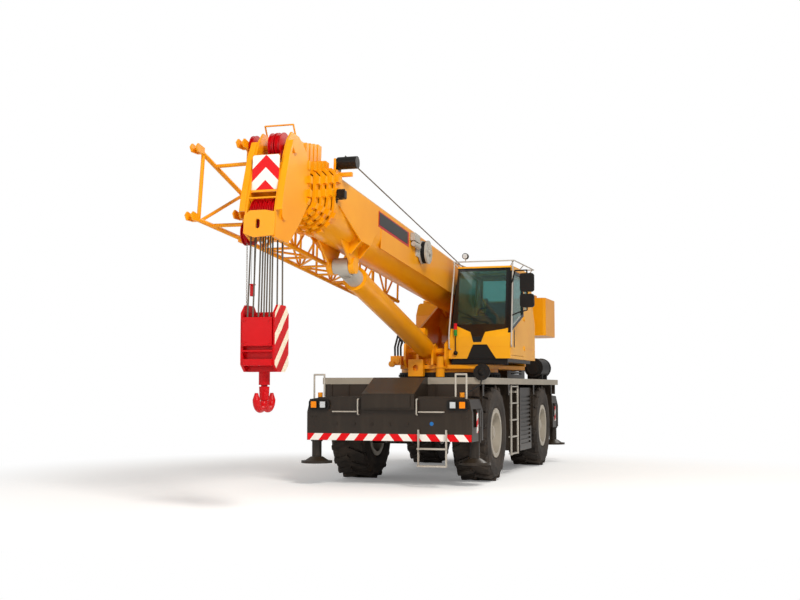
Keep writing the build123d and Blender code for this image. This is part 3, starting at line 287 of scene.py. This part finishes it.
FRONT_FACE, REAR_FACE, SIDE_FACE = 4.09, -4.27, 1.49
BAND_HEIGHT = 0.852
front_film = tape("front_reflective_film", (0, 1, 0), (FRONT_FACE, 0, 0.79), 0.045, 0.8, 0.33)
for end, x in (("front", FRONT_FACE + TAPE_THICK / 2), ("rear", REAR_FACE - TAPE_THICK / 2)):
    band = plate(Vector((x, 0, BAND_HEIGHT)) - MIDDLE, (TAPE_THICK, 2.96, 0.118), PLATE_EDGE)
    join([band], end + "_warning_band", front_film, "carrier")
side_film = tape("side_reflective_film", (0.6, 0, 0), (-9, 0, 0), 0, 1, 0.22)
strips = []
for x, side in ((3.722, 1), (3.600, -1), (-3.850, 1), (-4.020, -1)):
    spot = Vector((x, side * (SIDE_FACE + TAPE_THICK / 2), 1.10)) - MIDDLE
    strips.append(plate(spot, (0.10, TAPE_THICK, 0.34), PLATE_EDGE))
join(strips, "side_warning_strips", side_film, "carrier")

# Superstructure and boom: folded high-strength plate in amber-yellow polyurethane.
# Sun-bleached clouds and faint rain streaks keep the big sides from looking flat.
amber = paint("amber_polyurethane", "F7A50A", "F09806", "C98A3A", 0.3, 0.12, 1.8, 3.4)
AMBER = ["counterweight", "right_body", "turntable", "jib", "cylinder_barrel", "slew_drive"]
AMBER += ["boom_base", "boom_2", "boom_3", "boom_4", "boom_head"]
wear(AMBER, amber)
BLACK_PAINT = "1C1A19"
patch(amber, (6.78, 0.12, 4.975), (7.00, 0.46, 5.19), BLACK_PAINT)
patch(amber, (0.66, -0.92, 2.336), (1.06, -0.655, 2.80), BLACK_PAINT, 0.6)

# Boom head panel: a chevron board in the same film, above the lower sheaves.
# Its stripes point up at the middle of the boom's head and tilt with the boom.
BOOM_PIVOT = Vector((-2.0, -0.2, 3.45)) - MIDDLE
BOOM_TILT = math.radians(5)
along_boom = Matrix.Translation(BOOM_PIVOT) @ Matrix.Rotation(-BOOM_TILT, 4, "Y")
CHEVRON_TOP = along_boom @ Vector((10.878, 0, 0.475)) + MIDDLE
chevron_film = tape("chevron_film", (0, 1, 0), CHEVRON_TOP, 0.3515, 1.0, 0.353)
tilted = Matrix.Rotation(-BOOM_TILT, 4, "Y")
board = plate(along_boom @ Vector((10.876, 0, 0.230)), (TAPE_THICK, 0.395, 0.49), PLATE_EDGE, tilted)
join([board], "head_chevron_board", chevron_film, "section_5")

# Boom side boards: a dark enamelled plate on a red backing plate.
# One is fixed on each side of the base section, and both are left blank.
BOARD_THICK = 0.005
backs = []
boards = []
for side in (-1, 1):
    spot = along_boom @ Vector((6.35, side * 0.3840, 0.405))
    backs.append(plate(spot, (1.70, BOARD_THICK, 0.27), PLATE_EDGE, tilted))
    spot = along_boom @ Vector((6.38, side * 0.3885, 0.415))
    boards.append(plate(spot, (1.58, BOARD_THICK, 0.21), PLATE_EDGE, tilted))
board_paint = paint("blank_board_enamel", "26221F", "211D1A", "4A433B", 0.35, 0.3, 0.5, 3.0)
rim_paint = paint("board_rim_enamel", "C9141B", "B81017", "7A2A1C", 0.35, 0.3, 0.5, 3.0)
join(backs, "boom_board_rims", rim_paint, "boom")
join(boards, "boom_side_boards", board_paint, "boom")

# Hook and sheaves: forged hook and cast sheaves in signal-red enamel, faded a little in clouds.
# The block's side plates carry painted cream stripes.
red = paint("signal_red_enamel", "CE000B", "B80009", "7A2A1C", 0.35, 0.05, 0.5, 2.0)
wear(["hook", "head_sheaves"], red)
block_red = paint("hook_block_enamel", "CE000B", "B80009", "7A2A1C", 0.35, 0.05, 0.5, 2.0)
STRIPE_PERIOD = 0.36
CREAM_SHARE = 0.42
tree, shader, place = opened(block_red)
axes = add_node(tree, "ShaderNodeSeparateXYZ", {0: place})
rise = add_node(tree, "ShaderNodeMath", {0: axes.outputs[0], 1: axes.outputs[2]}, operation="ADD")
count = add_node(tree, "ShaderNodeMath", {0: rise.outputs[0], 1: STRIPE_PERIOD}, operation="DIVIDE")
part_of = add_node(tree, "ShaderNodeMath", {0: count.outputs[0]}, operation="FRACT")
cream = add_node(tree, "ShaderNodeMath", {0: part_of.outputs[0], 1: CREAM_SHARE}, operation="LESS_THAN")
sides = region(tree, place, (8.0, -0.449, 1.0), (9.4, 0.049, 3.2))
outside = add_node(tree, "ShaderNodeMath", {0: 1.0, 1: sides}, operation="SUBTRACT")
painted = add_node(tree, "ShaderNodeMath", {0: outside.outputs[0], 1: cream.outputs[0]}, operation="MULTIPLY")
overlay(tree, shader, painted.outputs[0], "F1E2C8")
wear(["hook_block"], block_red)

# Cab: pressed and welded shell in the same amber, kept cleaner and glossier than the boom, yet painted a lighter amber
# than the boom's: painted light for the key light on the cab's front.
# A black ceramic print frames its windows.
lit_cab_amber = paint("amber_polyurethane_lit_cab", "FDB41E", "F7A814", "C98A3A", 0.25, 0.15, 1.6, 2.6)
wear(["cab_shell", "cab_door"], lit_cab_amber)
CERAMIC = "151413"
patch(lit_cab_amber, (0.60, 0.20, 2.86), (1.10, 0.392, 4.065), CERAMIC, 0.15)
patch(lit_cab_amber, (0.60, 1.385, 2.86), (1.10, 1.470, 4.065), CERAMIC, 0.15)
patch(lit_cab_amber, (0.60, 0.30, 4.030), (1.10, 1.470, 4.065), CERAMIC, 0.15)
patch(lit_cab_amber, (0.955, 0.55, 2.20), (0.985, 1.25, 2.56), CERAMIC, 0.45)
patch(lit_cab_amber, (0.615, 1.44, 2.49), (0.715, 1.60, 2.85), CERAMIC, 0.45)

# Door surround: the black print that frames the door window and the windscreen pillar.
# Its lower edge climbs towards the rear with the window's sill.
SILL = (-0.303, 3.070)
SILL_START = SILL[1] + SILL[0] * MIDDLE.x
tree, shader, place = opened(lit_cab_amber)
axes = add_node(tree, "ShaderNodeSeparateXYZ", {0: place})
lean = {0: axes.outputs[0], 1: -SILL[0], 2: axes.outputs[2]}
height = add_node(tree, "ShaderNodeMath", lean, operation="MULTIPLY_ADD")
above = add_node(tree, "ShaderNodeMath", {0: height.outputs[0], 1: SILL_START}, operation="GREATER_THAN")
frame_box = region(tree, place, (-0.285, 1.44, 2.70), (1.10, 1.60, 4.005))
printed = add_node(tree, "ShaderNodeMath", {0: above.outputs[0], 1: frame_box}, operation="MULTIPLY")
overlay(tree, shader, printed.outputs[0], CERAMIC)

# Black fittings: moulded plastic and matt enamel, greyed by dust.
# It is worn by the cab's inside, the mirrors, the air cleaner, the winch and the slewing ring.
black = paint("black_moulded_plastic", BLACK_PAINT, "151413", "4A433B", 0.5, 0.0, 0.5, 3.0)
wear(["cab_interior", "mirrors", "air_cleaner", "winch_main", "slew_ring"], black)

# Rails and steps: drawn steel tube, zinc-plated, satin and slightly stained.
# The cab's trim is black below its rails, and its lamp column carries a green and a red lens.
zinc = paint("galvanised_steel", "C2BCB1", "A49D92", "7D7264", 0.35, 0.0, 0.3, 2.0)
wear(["front_furniture", "side_steps", "cylinder_rod", "hose_reel"], zinc)
rail = paint("cab_rail_steel", "C9C5BD", "B4AFA6", "7D7264", 0.3, 0.0, 0.3, 2.0)
patch(rail, (-BEYOND, -BEYOND, 0), (BEYOND, BEYOND, 2.30), BLACK_PAINT)
patch(rail, (0.95, 0.34, 2.30), (1.15, 0.46, 2.72), BLACK_PAINT)
patch(rail, (0.99, 0.34, 2.72), (1.15, 0.46, 2.84), "2E8F3A")
patch(rail, (0.99, 0.34, 2.84), (1.15, 0.46, 3.00), "D8101A")
patch(rail, (0.78, 0.49, 4.25), (0.90, 0.63, 4.50), BLACK_PAINT)
wear(["cab_trim"], rail)

# Lamps: clear headlamp lenses and amber indicator lenses in black housings.
# Each lens is a region of the housing's paint, the same on both sides.
LENSES = (
    ((4.166, 1.125, 1.358), (4.20, 1.222, 1.462), "C4C9CC", 0.1),
    ((4.166, 1.290, 1.356), (4.20, 1.390, 1.464), "F28A14", 0.1),
    ((3.90, 1.2, 1.54), (4.05, 1.36, 1.64), "E9921E", 0.3),
)
housing = paint("lamp_housing", BLACK_PAINT, "151413", "4A433B", 0.4, 0.0, 0.5, 3.0)
for side in (-1, 1):
    for low, high, colour, roughness in LENSES:
        near, far = sorted((side * low[1], side * high[1]))
        patch(housing, (low[0], near, low[2]), (high[0], far, high[2]), colour, roughness)
wear(["front_lamps"], housing)

# Cab roof lamp: a pale prismatic lens in the front of its round housing.
# It is a shallow disc, its rim rounded.
LENS_SPOT = Vector((0.884, 0.560, 4.305)) - MIDDLE
FORWARD = (0, math.pi / 2, 0)
lens_clear = paint("clear_lamp_lens", "D9DDDF", "CDD2D4", "8A8378", 0.12, 0.5, 0.5, 2.0)
bpy.ops.object.select_all(action="DESELECT")
bpy.ops.mesh.primitive_cylinder_add(vertices=32, radius=0.050, depth=0.010, location=LENS_SPOT, rotation=FORWARD)
bpy.ops.object.mode_set(mode="EDIT")
bpy.ops.mesh.select_all(action="SELECT")
bpy.ops.mesh.bevel(offset=0.003, segments=2, affect="EDGES")
bpy.ops.object.mode_set(mode="OBJECT")
join([bpy.context.active_object], "cab_roof_lamp_lens", lens_clear, "superstructure")

# Hoist rope: bright steel wire rope with oily, darkened strands.
# Its dust lies only near the ground, so the falls keep one colour.
wire = paint("oiled_wire_rope", "6F675C", "4A443C", "3A332C", 0.45, 0.0, 0.1, 0.2)
wear(["hoist_ropes"], wire)

# Glass: tempered panes with a green body tint.
# The windscreen's four edges carry the same black ceramic print as the shell.
PRINT_BANDS = (
    ((0.60, 0.20, 2.50), (1.10, 0.425, 4.1)),
    ((0.60, 1.375, 2.50), (1.10, 1.60, 4.1)),
    ((0.50, 0.20, 4.005), (1.10, 1.60, 4.1)),
)
glass, tree, place = new_material("tinted_safety_glass")
look = {"Base Color": linear("7FB0AC"), "Roughness": 0.03, "Transmission Weight": 0.95, "IOR": 1.5}
clear_glass = add_node(tree, "ShaderNodeBsdfPrincipled", look)
black_print = add_node(tree, "ShaderNodeBsdfPrincipled", {"Base Color": linear(CERAMIC), "Roughness": 0.12})
printed = region(tree, place, (0.60, 0.20, 2.50), (1.10, 1.60, 2.945))
for low, high in PRINT_BANDS:
    band = region(tree, place, low, high)
    printed = add_node(tree, "ShaderNodeMath", {0: printed, 1: band}, operation="MAXIMUM").outputs[0]
surface = add_node(tree, "ShaderNodeMixShader", {0: printed, 1: clear_glass.outputs[0], 2: black_print.outputs[0]})
finish_material(tree, surface)
wear(["cab_glass", "door_glass"], glass)

# Wiper: a black steel arm and its rubber blade, parked across the lower windscreen.
# The arm's pivot stands off the glass, and the blade lies almost on it.
def bar(start, end, radius, corners=12):
    """A straight round bar between two points of the vehicle, its sides shaded smooth."""
    start, end = Vector(start) - MIDDLE, Vector(end) - MIDDLE
    way = end - start
    centre, depth = (start + end) / 2, way.length
    turn = way.to_track_quat("Z", "Y").to_euler()
    bpy.ops.object.select_all(action="DESELECT")
    bpy.ops.mesh.primitive_cylinder_add(vertices=corners, radius=radius, depth=depth, location=centre, rotation=turn)
    bpy.ops.object.shade_smooth_by_angle(angle=math.radians(40))
    return bpy.context.active_object


def ball(place, radius):
    """A round joint or knob at a point of the vehicle."""
    bpy.ops.object.select_all(action="DESELECT")
    bpy.ops.mesh.primitive_uv_sphere_add(segments=16, ring_count=8, radius=radius, location=Vector(place) - MIDDLE)
    bpy.ops.object.shade_smooth()
    return bpy.context.active_object


def windscreen_x(z):
    """How far forward the windscreen's outer face lies at a height."""
    foot_x, foot_z, lean, rise = 1.000, 2.85, 0.200, 1.25
    return foot_x - lean * max(0.0, z - foot_z) / rise


parts = []
pivot = (windscreen_x(2.98) + 0.030, 1.02, 2.98)
tip = (windscreen_x(3.10) + 0.022, 0.50, 3.10)
parts.append(bar(pivot, tip, 0.007))
parts.append(ball(pivot, 0.020))
parts.append(bar((windscreen_x(3.02) + 0.014, 0.86, 3.02), (windscreen_x(3.22) + 0.014, 0.43, 3.22), 0.008))
join(parts, "windscreen_wiper", black, "superstructure")

# Work lamp: a square die-cast lamp with cooling ribs behind and a round rim in front.
# It stands on a bent bracket, bolted to the boom's left side by the top guide.
def along(x, y, z):
    """A point of the boom, measured from its pivot, in the vehicle's own measure."""
    return along_boom @ Vector((x, y, z)) + MIDDLE


def block_on(place, size, soft, turn=None):
    """A bevelled block at a point of the vehicle."""
    return plate(Vector(place) - MIDDLE, size, soft, turn)


x, y, z = 9.245, 0.500, 0.300
parts = [block_on(along(x, y, z), (0.11, 0.12, 0.12), 0.012, tilted)]
parts.append(block_on(along(x + 0.055, y, z), (0.022, 0.132, 0.132), 0.008, tilted))
for i in range(4):
    parts.append(block_on(along(x - 0.060 - 0.008 * i, y, z), (0.004, 0.10 - 0.01 * i, 0.11), 0.001, tilted))
parts.append(block_on(along(x - 0.020, 0.4135, z - 0.04), (0.05, 0.007, 0.16), 0.002, tilted))
parts.append(block_on(along(x - 0.020, 0.456, z - 0.066), (0.05, 0.086, 0.008), 0.002, tilted))
for rise in (-0.10, 0.02):
    parts.append(bar(along(x - 0.020, 0.412, z + rise), along(x - 0.020, 0.424, z + rise), 0.010, 6))
parts.append(bar(along(x + 0.055, y, z), along(x + 0.072, y, z), 0.050, 24))
lamp_black = paint("cast_lamp_paint", BLACK_PAINT, "151413", "4A433B", 0.4, 0.1, 0.5, 3.0)
join(parts, "boom_work_lamp", lamp_black, "boom")

# Hose on the reel: black rubber pressure hose, wound in three layers of three turns.
# The turns lie side by side between the reel's discs.
REEL_X, REEL_Z = 4.780, 0.320
HOSE_RADIUS = 0.0125
FACING_SIDE = (math.pi / 2, 0, 0)


def ring(spot, radius, thick, around, across, turn):
    """A closed ring of round section."""
    bpy.ops.object.select_all(action="DESELECT")
    bpy.ops.mesh.primitive_torus_add(
        major_segments=around,
        minor_segments=across,
        major_radius=radius,
        minor_radius=thick,
        location=spot,
        rotation=turn,
    )
    return bpy.context.active_object


turns = []
for i in range(3):
    for radius in (0.140, 0.166, 0.192):
        spot = along_boom @ Vector((REEL_X, 0.453 + 0.027 * i, REEL_Z))
        turns.append(ring(spot, radius, HOSE_RADIUS, 48, 10, FACING_SIDE))
        bpy.ops.object.shade_smooth()
join(turns, "hose_reel_hose", black, "boom")

# Spokes of the reel: six zinc-plated rods from the hub to the rim, over the outer disc.
# The hub's cap carries a ring of six bolts.
SPOKE_Y = 0.5555
spokes = []
for i in range(6):
    angle = math.pi * i / 3
    inner = along(REEL_X + 0.05 * math.cos(angle), SPOKE_Y, REEL_Z + 0.05 * math.sin(angle))
    outer = along(REEL_X + 0.195 * math.cos(angle), SPOKE_Y, REEL_Z + 0.195 * math.sin(angle))
    spokes.append(bar(inner, outer, 0.009, 8))
spokes.append(bar(along(REEL_X, 0.550, REEL_Z), along(REEL_X, 0.590, REEL_Z), 0.055, 24))
for i in range(6):
    angle = math.pi * i / 3
    x, z = REEL_X + 0.040 * math.cos(angle), REEL_Z + 0.040 * math.sin(angle)
    spokes.append(bar(along(x, 0.588, z), along(x, 0.598, z), 0.008, 6))
join(spokes, "hose_reel_spokes", zinc, "boom")

# Hoist rope along the boom: oiled wire rope, drawn taut over the base section.
# It leaves the guide roller by the collar and runs back to a clamp over the pivot.
line = [along(9.00, 0.440, 0.957), along(0.62, 0.240, 0.716)]
parts = [bar(line[0], line[1], 0.011), ball(line[0], 0.011)]
parts.append(block_on(along(0.62, 0.240, 0.690), (0.16, 0.09, 0.06), 0.008, tilted))
join(parts, "boom_top_rope", wire, "boom")

# Hook block covers: pressed front and rear covers, welded between the side plates.
# Each has a stepped recess with a bar across it, and four bolts.
HOOK_X, BLOCK_Y = 8.800, -0.200
parts = []
for end in (-1, 1):
    parts.append(block_on((HOOK_X + end * 0.252, BLOCK_Y, 2.450), (0.012, 0.432, 0.380), 0.003))
    parts.append(block_on((HOOK_X + end * 0.205, BLOCK_Y, 2.262), (0.100, 0.430, 0.012), 0.003))
    parts.append(block_on((HOOK_X + end * 0.155, BLOCK_Y, 2.150), (0.012, 0.430, 0.230), 0.003))
    parts.append(block_on((HOOK_X + end * 0.200, BLOCK_Y, 2.040), (0.100, 0.430, 0.090), 0.010))
    bar_x = HOOK_X + end * 0.235
    parts.append(bar((bar_x, BLOCK_Y - 0.216, 2.190), (bar_x, BLOCK_Y + 0.216, 2.190), 0.014))
    for side in (-1, 1):
        for rise in (2.30, 2.60):
            seat = Vector((HOOK_X + end * 0.258, BLOCK_Y + side * 0.180, rise))
            parts.append(bar(seat, seat + Vector((end * 0.010, 0, 0)), 0.014, 6))
join(parts, "hook_block_covers", red, "hook_block")

# Over-hoist switch weight: a red cast weight with a wider cap, hung beside the hoist ropes.
# Two thin wires carry it from the boom's head.
WEIGHT_X, WEIGHT_Y = 8.72, -0.425
WIRE_TOP = 4.02
parts = [block_on((WEIGHT_X, WEIGHT_Y, 3.020), (0.050, 0.060, 0.150), 0.012)]
parts.append(block_on((WEIGHT_X, WEIGHT_Y, 3.105), (0.060, 0.070, 0.020), 0.004))
join(parts, "over_hoist_weight", red, "hook_block")
parts = []
for side in (-1, 1):
    low = (WEIGHT_X, WEIGHT_Y + side * 0.018, 3.10)
    high = (WEIGHT_X + 0.02, WEIGHT_Y + 0.02 + side * 0.018, WIRE_TOP)
    parts.append(bar(low, high, 0.003, 8))
join(parts, "over_hoist_wires", wire, "hook_block")

# Over-hoist chain: a plated chain beside the weight.
# Its links are long rings, each turned a quarter from the one above.
LINKS = 52
LINK_PITCH = 0.0245
links = []
for i in range(LINKS):
    spot = Vector((WEIGHT_X + 0.01, WEIGHT_Y - 0.08, WIRE_TOP - LINK_PITCH * i)) - MIDDLE
    turn = FACING_SIDE if i % 2 else (math.pi / 2, 0, math.pi / 2)
    link = ring(spot, 0.0125, 0.0035, 14, 6, turn)
    link.scale = (0.75, 1.25, 1)
    bpy.ops.object.shade_smooth()
    links.append(link)
join(links, "over_hoist_chain", zinc, "hook_block")

# Front box caps and tag: pressed caps over the beam pads and a round blue tag.
# Smaller caps and the tow eyes' nuts stand above them.
parts = []
for y in (-0.95, -0.62, -0.30, 0.02, 0.34):
    seat = Vector((4.088, y, 1.08))
    parts.append(bar(seat, seat + Vector((0.014, 0, 0)), 0.036, 24))
    parts.append(bar(seat, seat + Vector((0.022, 0, 0)), 0.015, 6))
for y in (-0.45, 0.18):
    seat = Vector((4.088, y, 1.34))
    parts.append(bar(seat, seat + Vector((0.010, 0, 0)), 0.022, 20))
for y in (-1.40, -1.32, 1.32, 1.40):
    seat = Vector((4.088, y, 1.20))
    parts.append(bar(seat, seat + Vector((0.012, 0, 0)), 0.014, 6))
join(parts, "front_box_caps", umber, "carrier")
tag_blue = paint("blue_tag_enamel", "1C6FB8", "185F9E", "6B5C4B", 0.3, 0.3, 0.5, 2.0)
parts = [bar((4.089, 0.785, 1.09), (4.097, 0.785, 1.09), 0.034, 28)]
join(parts, "front_box_tag", tag_blue, "carrier")

# Slewing-ring bolts: high-tensile hexagon bolts, oiled black.
# They stand in one circle on the ring's flange, under the turntable.
RING_BOLTS = 40
BOLT_CIRCLE = 0.955
parts = []
for i in range(RING_BOLTS):
    angle = 2 * math.pi * (i + 0.5) / RING_BOLTS
    seat = Vector((BOLT_CIRCLE * math.cos(angle), BOLT_CIRCLE * math.sin(angle), 2.149))
    parts.append(bar(seat, seat + Vector((0, 0, 0.020)), 0.016, 6))
join(parts, "slewing_ring_bolts", black, "superstructure")

# Luffing pipes: two steel hydraulic pipes along the top of the cylinder's barrel.
# Four clips hold them, turned to the barrel's own slope.
foot = Vector((0.900, -0.200, 2.420))
head_pin = Vector(along(7.800, 0, -0.490))
way = (head_pin - foot).normalized()
up = Vector((-way.z, 0, way.x))
parts = []
for side in (-1, 1):
    start = foot + way * 0.55 + up * 0.192 + Vector((0, side * 0.045, 0))
    parts.append(bar(start, start + way * 2.6, 0.014))
for i in range(4):
    seat = foot + way * (0.75 + 0.72 * i) + up * 0.180
    turn = Matrix.Rotation(-math.atan2(way.z, way.x), 4, "Y")
    parts.append(block_on(seat, (0.040, 0.140, 0.030), 0.005, turn))
join(parts, "luffing_pipes", zinc, "luff_barrel")

# Rear lamps: two red lens blocks in a black housing at each side of the rear box.
# The lenses stand a little proud, their edges rounded.
parts = []
lenses = []
for side in (-1, 1):
    parts.append(block_on((-4.290, side * 1.24, 1.36), (0.040, 0.34, 0.14), 0.012))
    lenses.append(block_on((-4.314, side * 1.32, 1.36), (0.014, 0.14, 0.10), 0.006))
    lenses.append(block_on((-4.314, side * 1.16, 1.36), (0.014, 0.14, 0.10), 0.006))
join(parts, "rear_lamp_housings", lamp_black, "carrier")
lens_red = paint("red_lamp_lens", "B0121A", "9C0F16", "6B5C4B", 0.12, 0.6, 0.5, 2.0)
join(lenses, "rear_lamp_lenses", lens_red, "carrier")

# Mirror glasses: silvered glass, facing the driver.
# One pane is set in the rear face of each housing.
silver, tree, place = new_material("silvered_mirror_glass")
look = {"Base Color": linear("D6DCE0"), "Roughness": 0.03, "Metallic": 1.0}
surface = add_node(tree, "ShaderNodeBsdfPrincipled", look)
finish_material(tree, surface)
parts = []
for low, high in ((3.540, 3.900), (3.240, 3.500)):
    parts.append(block_on((1.148, 1.865, (low + high) / 2), (0.006, 0.230, high - low - 0.04), 0.003))
join(parts, "mirror_glasses", silver, "superstructure")

# Seat cushions: foam under black weave, its edges well rounded.
# One stands on the pan and one leans on the backrest, pressed to the steel behind.
CAB_FLOOR = 2.321
PAN_TOP = CAB_FLOOR + 0.470
SEAT_Y = 0.90
weave = paint("seat_weave", "2B2725", "24211F", "4A433B", 0.85, 0.0, 0.5, 1.0)
leaning = Matrix.Rotation(math.radians(-12), 4, "Y")
cushions = [("seat_cushion", (-0.225, SEAT_Y, PAN_TOP + 0.045), (0.520, 0.480, 0.090), None)]
cushions.append(("backrest_cushion", (-0.400, SEAT_Y, CAB_FLOOR + 0.800), (0.090, 0.460, 0.560), leaning))
for name, spot, size, turn in cushions:
    piece = block_on(spot, size, 0.030, turn)
    bpy.ops.object.shade_smooth_by_angle(angle=math.radians(40))
    join([piece], name, weave, "superstructure")

# Floor: a pale studio floor that keeps the shadow near the wheels.
# Further out it turns into the plain white of the backdrop.
bpy.ops.object.select_all(action="DESELECT")
bpy.ops.mesh.primitive_plane_add(size=400, location=(0, 0, 0))
floor = bpy.context.active_object
floor.name = "floor"
pale, tree, place = new_material("pale_floor")
NEAR, FAR = 6.0, 10.5
FLOOR_LIFT = 0.16
path = add_node(tree, "ShaderNodeLightPath")
reach = add_node(tree, "ShaderNodeVectorMath", {0: place}, operation="LENGTH")
fade = {0: reach.outputs["Value"], 1: NEAR, 2: FAR}
away = add_node(tree, "ShaderNodeMapRange", fade, interpolation_type="SMOOTHSTEP")
hidden = add_node(tree, "ShaderNodeMath", {0: away.outputs[0], 1: path.outputs["Is Camera Ray"]}, operation="MULTIPLY")
plain = add_node(tree, "ShaderNodeBsdfDiffuse", {"Color": linear("FFFFFF")})
bright = add_node(tree, "ShaderNodeEmission", {"Color": linear("FFFFFF"), "Strength": 1.0})
lift = add_node(tree, "ShaderNodeMath", {0: path.outputs["Is Camera Ray"], 1: FLOOR_LIFT}, operation="MULTIPLY")
glow = add_node(tree, "ShaderNodeEmission", {"Color": linear("FFFFFF"), "Strength": lift.outputs[0]})
lit = add_node(tree, "ShaderNodeAddShader", {0: plain.outputs[0], 1: glow.outputs[0]})
surface = add_node(tree, "ShaderNodeMixShader", {0: hidden.outputs[0], 1: lit.outputs[0], 2: bright.outputs[0]})
finish_material(tree, surface)
floor.data.materials.append(pale)

# Backdrop: a white studio sweep that the camera sees at full strength.
# It lights the crane more softly than it looks.
world = bpy.data.worlds.new("studio")
bpy.context.scene.world = world
world.use_nodes = True
tree = world.node_tree
tree.nodes.clear()
path = add_node(tree, "ShaderNodeLightPath").outputs
rays = {0: path["Is Camera Ray"], 1: path["Is Transmission Ray"]}
seen = add_node(tree, "ShaderNodeMath", rays, operation="MAXIMUM")
soft = add_node(tree, "ShaderNodeBackground", {"Color": linear("FFFFFF"), "Strength": 0.38})
clear = add_node(tree, "ShaderNodeBackground", {"Color": linear("FFFFFF"), "Strength": 1.0})
mix = add_node(tree, "ShaderNodeMixShader", {0: seen.outputs[0], 1: soft.outputs[0], 2: clear.outputs[0]})
add_node(tree, "ShaderNodeOutputWorld", {"Surface": mix.outputs[0]})

# Studio lights: a warm key from the front left, a fill from the front right and a light behind.
# They aim just ahead of the crane's middle, near half its height.
LIGHT_AIM = Vector((1, 0, 2.5))
LIGHT_TINT = (1.0, 0.965, 0.91)
for name, place, size, power in (
    ("key", (17, 12, 16), 6, 3700),
    ("fill", (18, -10, 8), 10, 650),
    ("back", (-16, 6, 14), 8, 900),
):
    lamp = bpy.data.lights.new(name, "AREA")
    lamp.size = size
    lamp.energy = power
    lamp.color = LIGHT_TINT
    holder = bpy.data.objects.new(name, lamp)
    bpy.context.scene.collection.objects.link(holder)
    holder.location = place
    holder.rotation_euler = (LIGHT_AIM - Vector(place)).to_track_quat("-Z", "Y").to_euler()

# Camera: the place, turn and lens that were fitted to the photograph.
# It stands low in front of the crane, to its left, and looks a little up.
CAMERA_PLACE = Vector((23.216, 6.272, 1.711)) - MIDDLE
CAMERA_YAW = math.radians(17.557)
CAMERA_PITCH = math.radians(4.277)
camera = bpy.data.cameras.new("camera")
camera.lens = 52.47
camera.sensor_width = 36
holder = bpy.data.objects.new("camera", camera)
bpy.context.scene.collection.objects.link(holder)
holder.location = CAMERA_PLACE
level = math.cos(CAMERA_PITCH)
look = Vector((-math.cos(CAMERA_YAW) * level, -math.sin(CAMERA_YAW) * level, math.sin(CAMERA_PITCH)))
holder.rotation_euler = look.to_track_quat("-Z", "Y").to_euler()
bpy.context.scene.camera = holder
bpy.context.scene.view_settings.view_transform = "Standard"
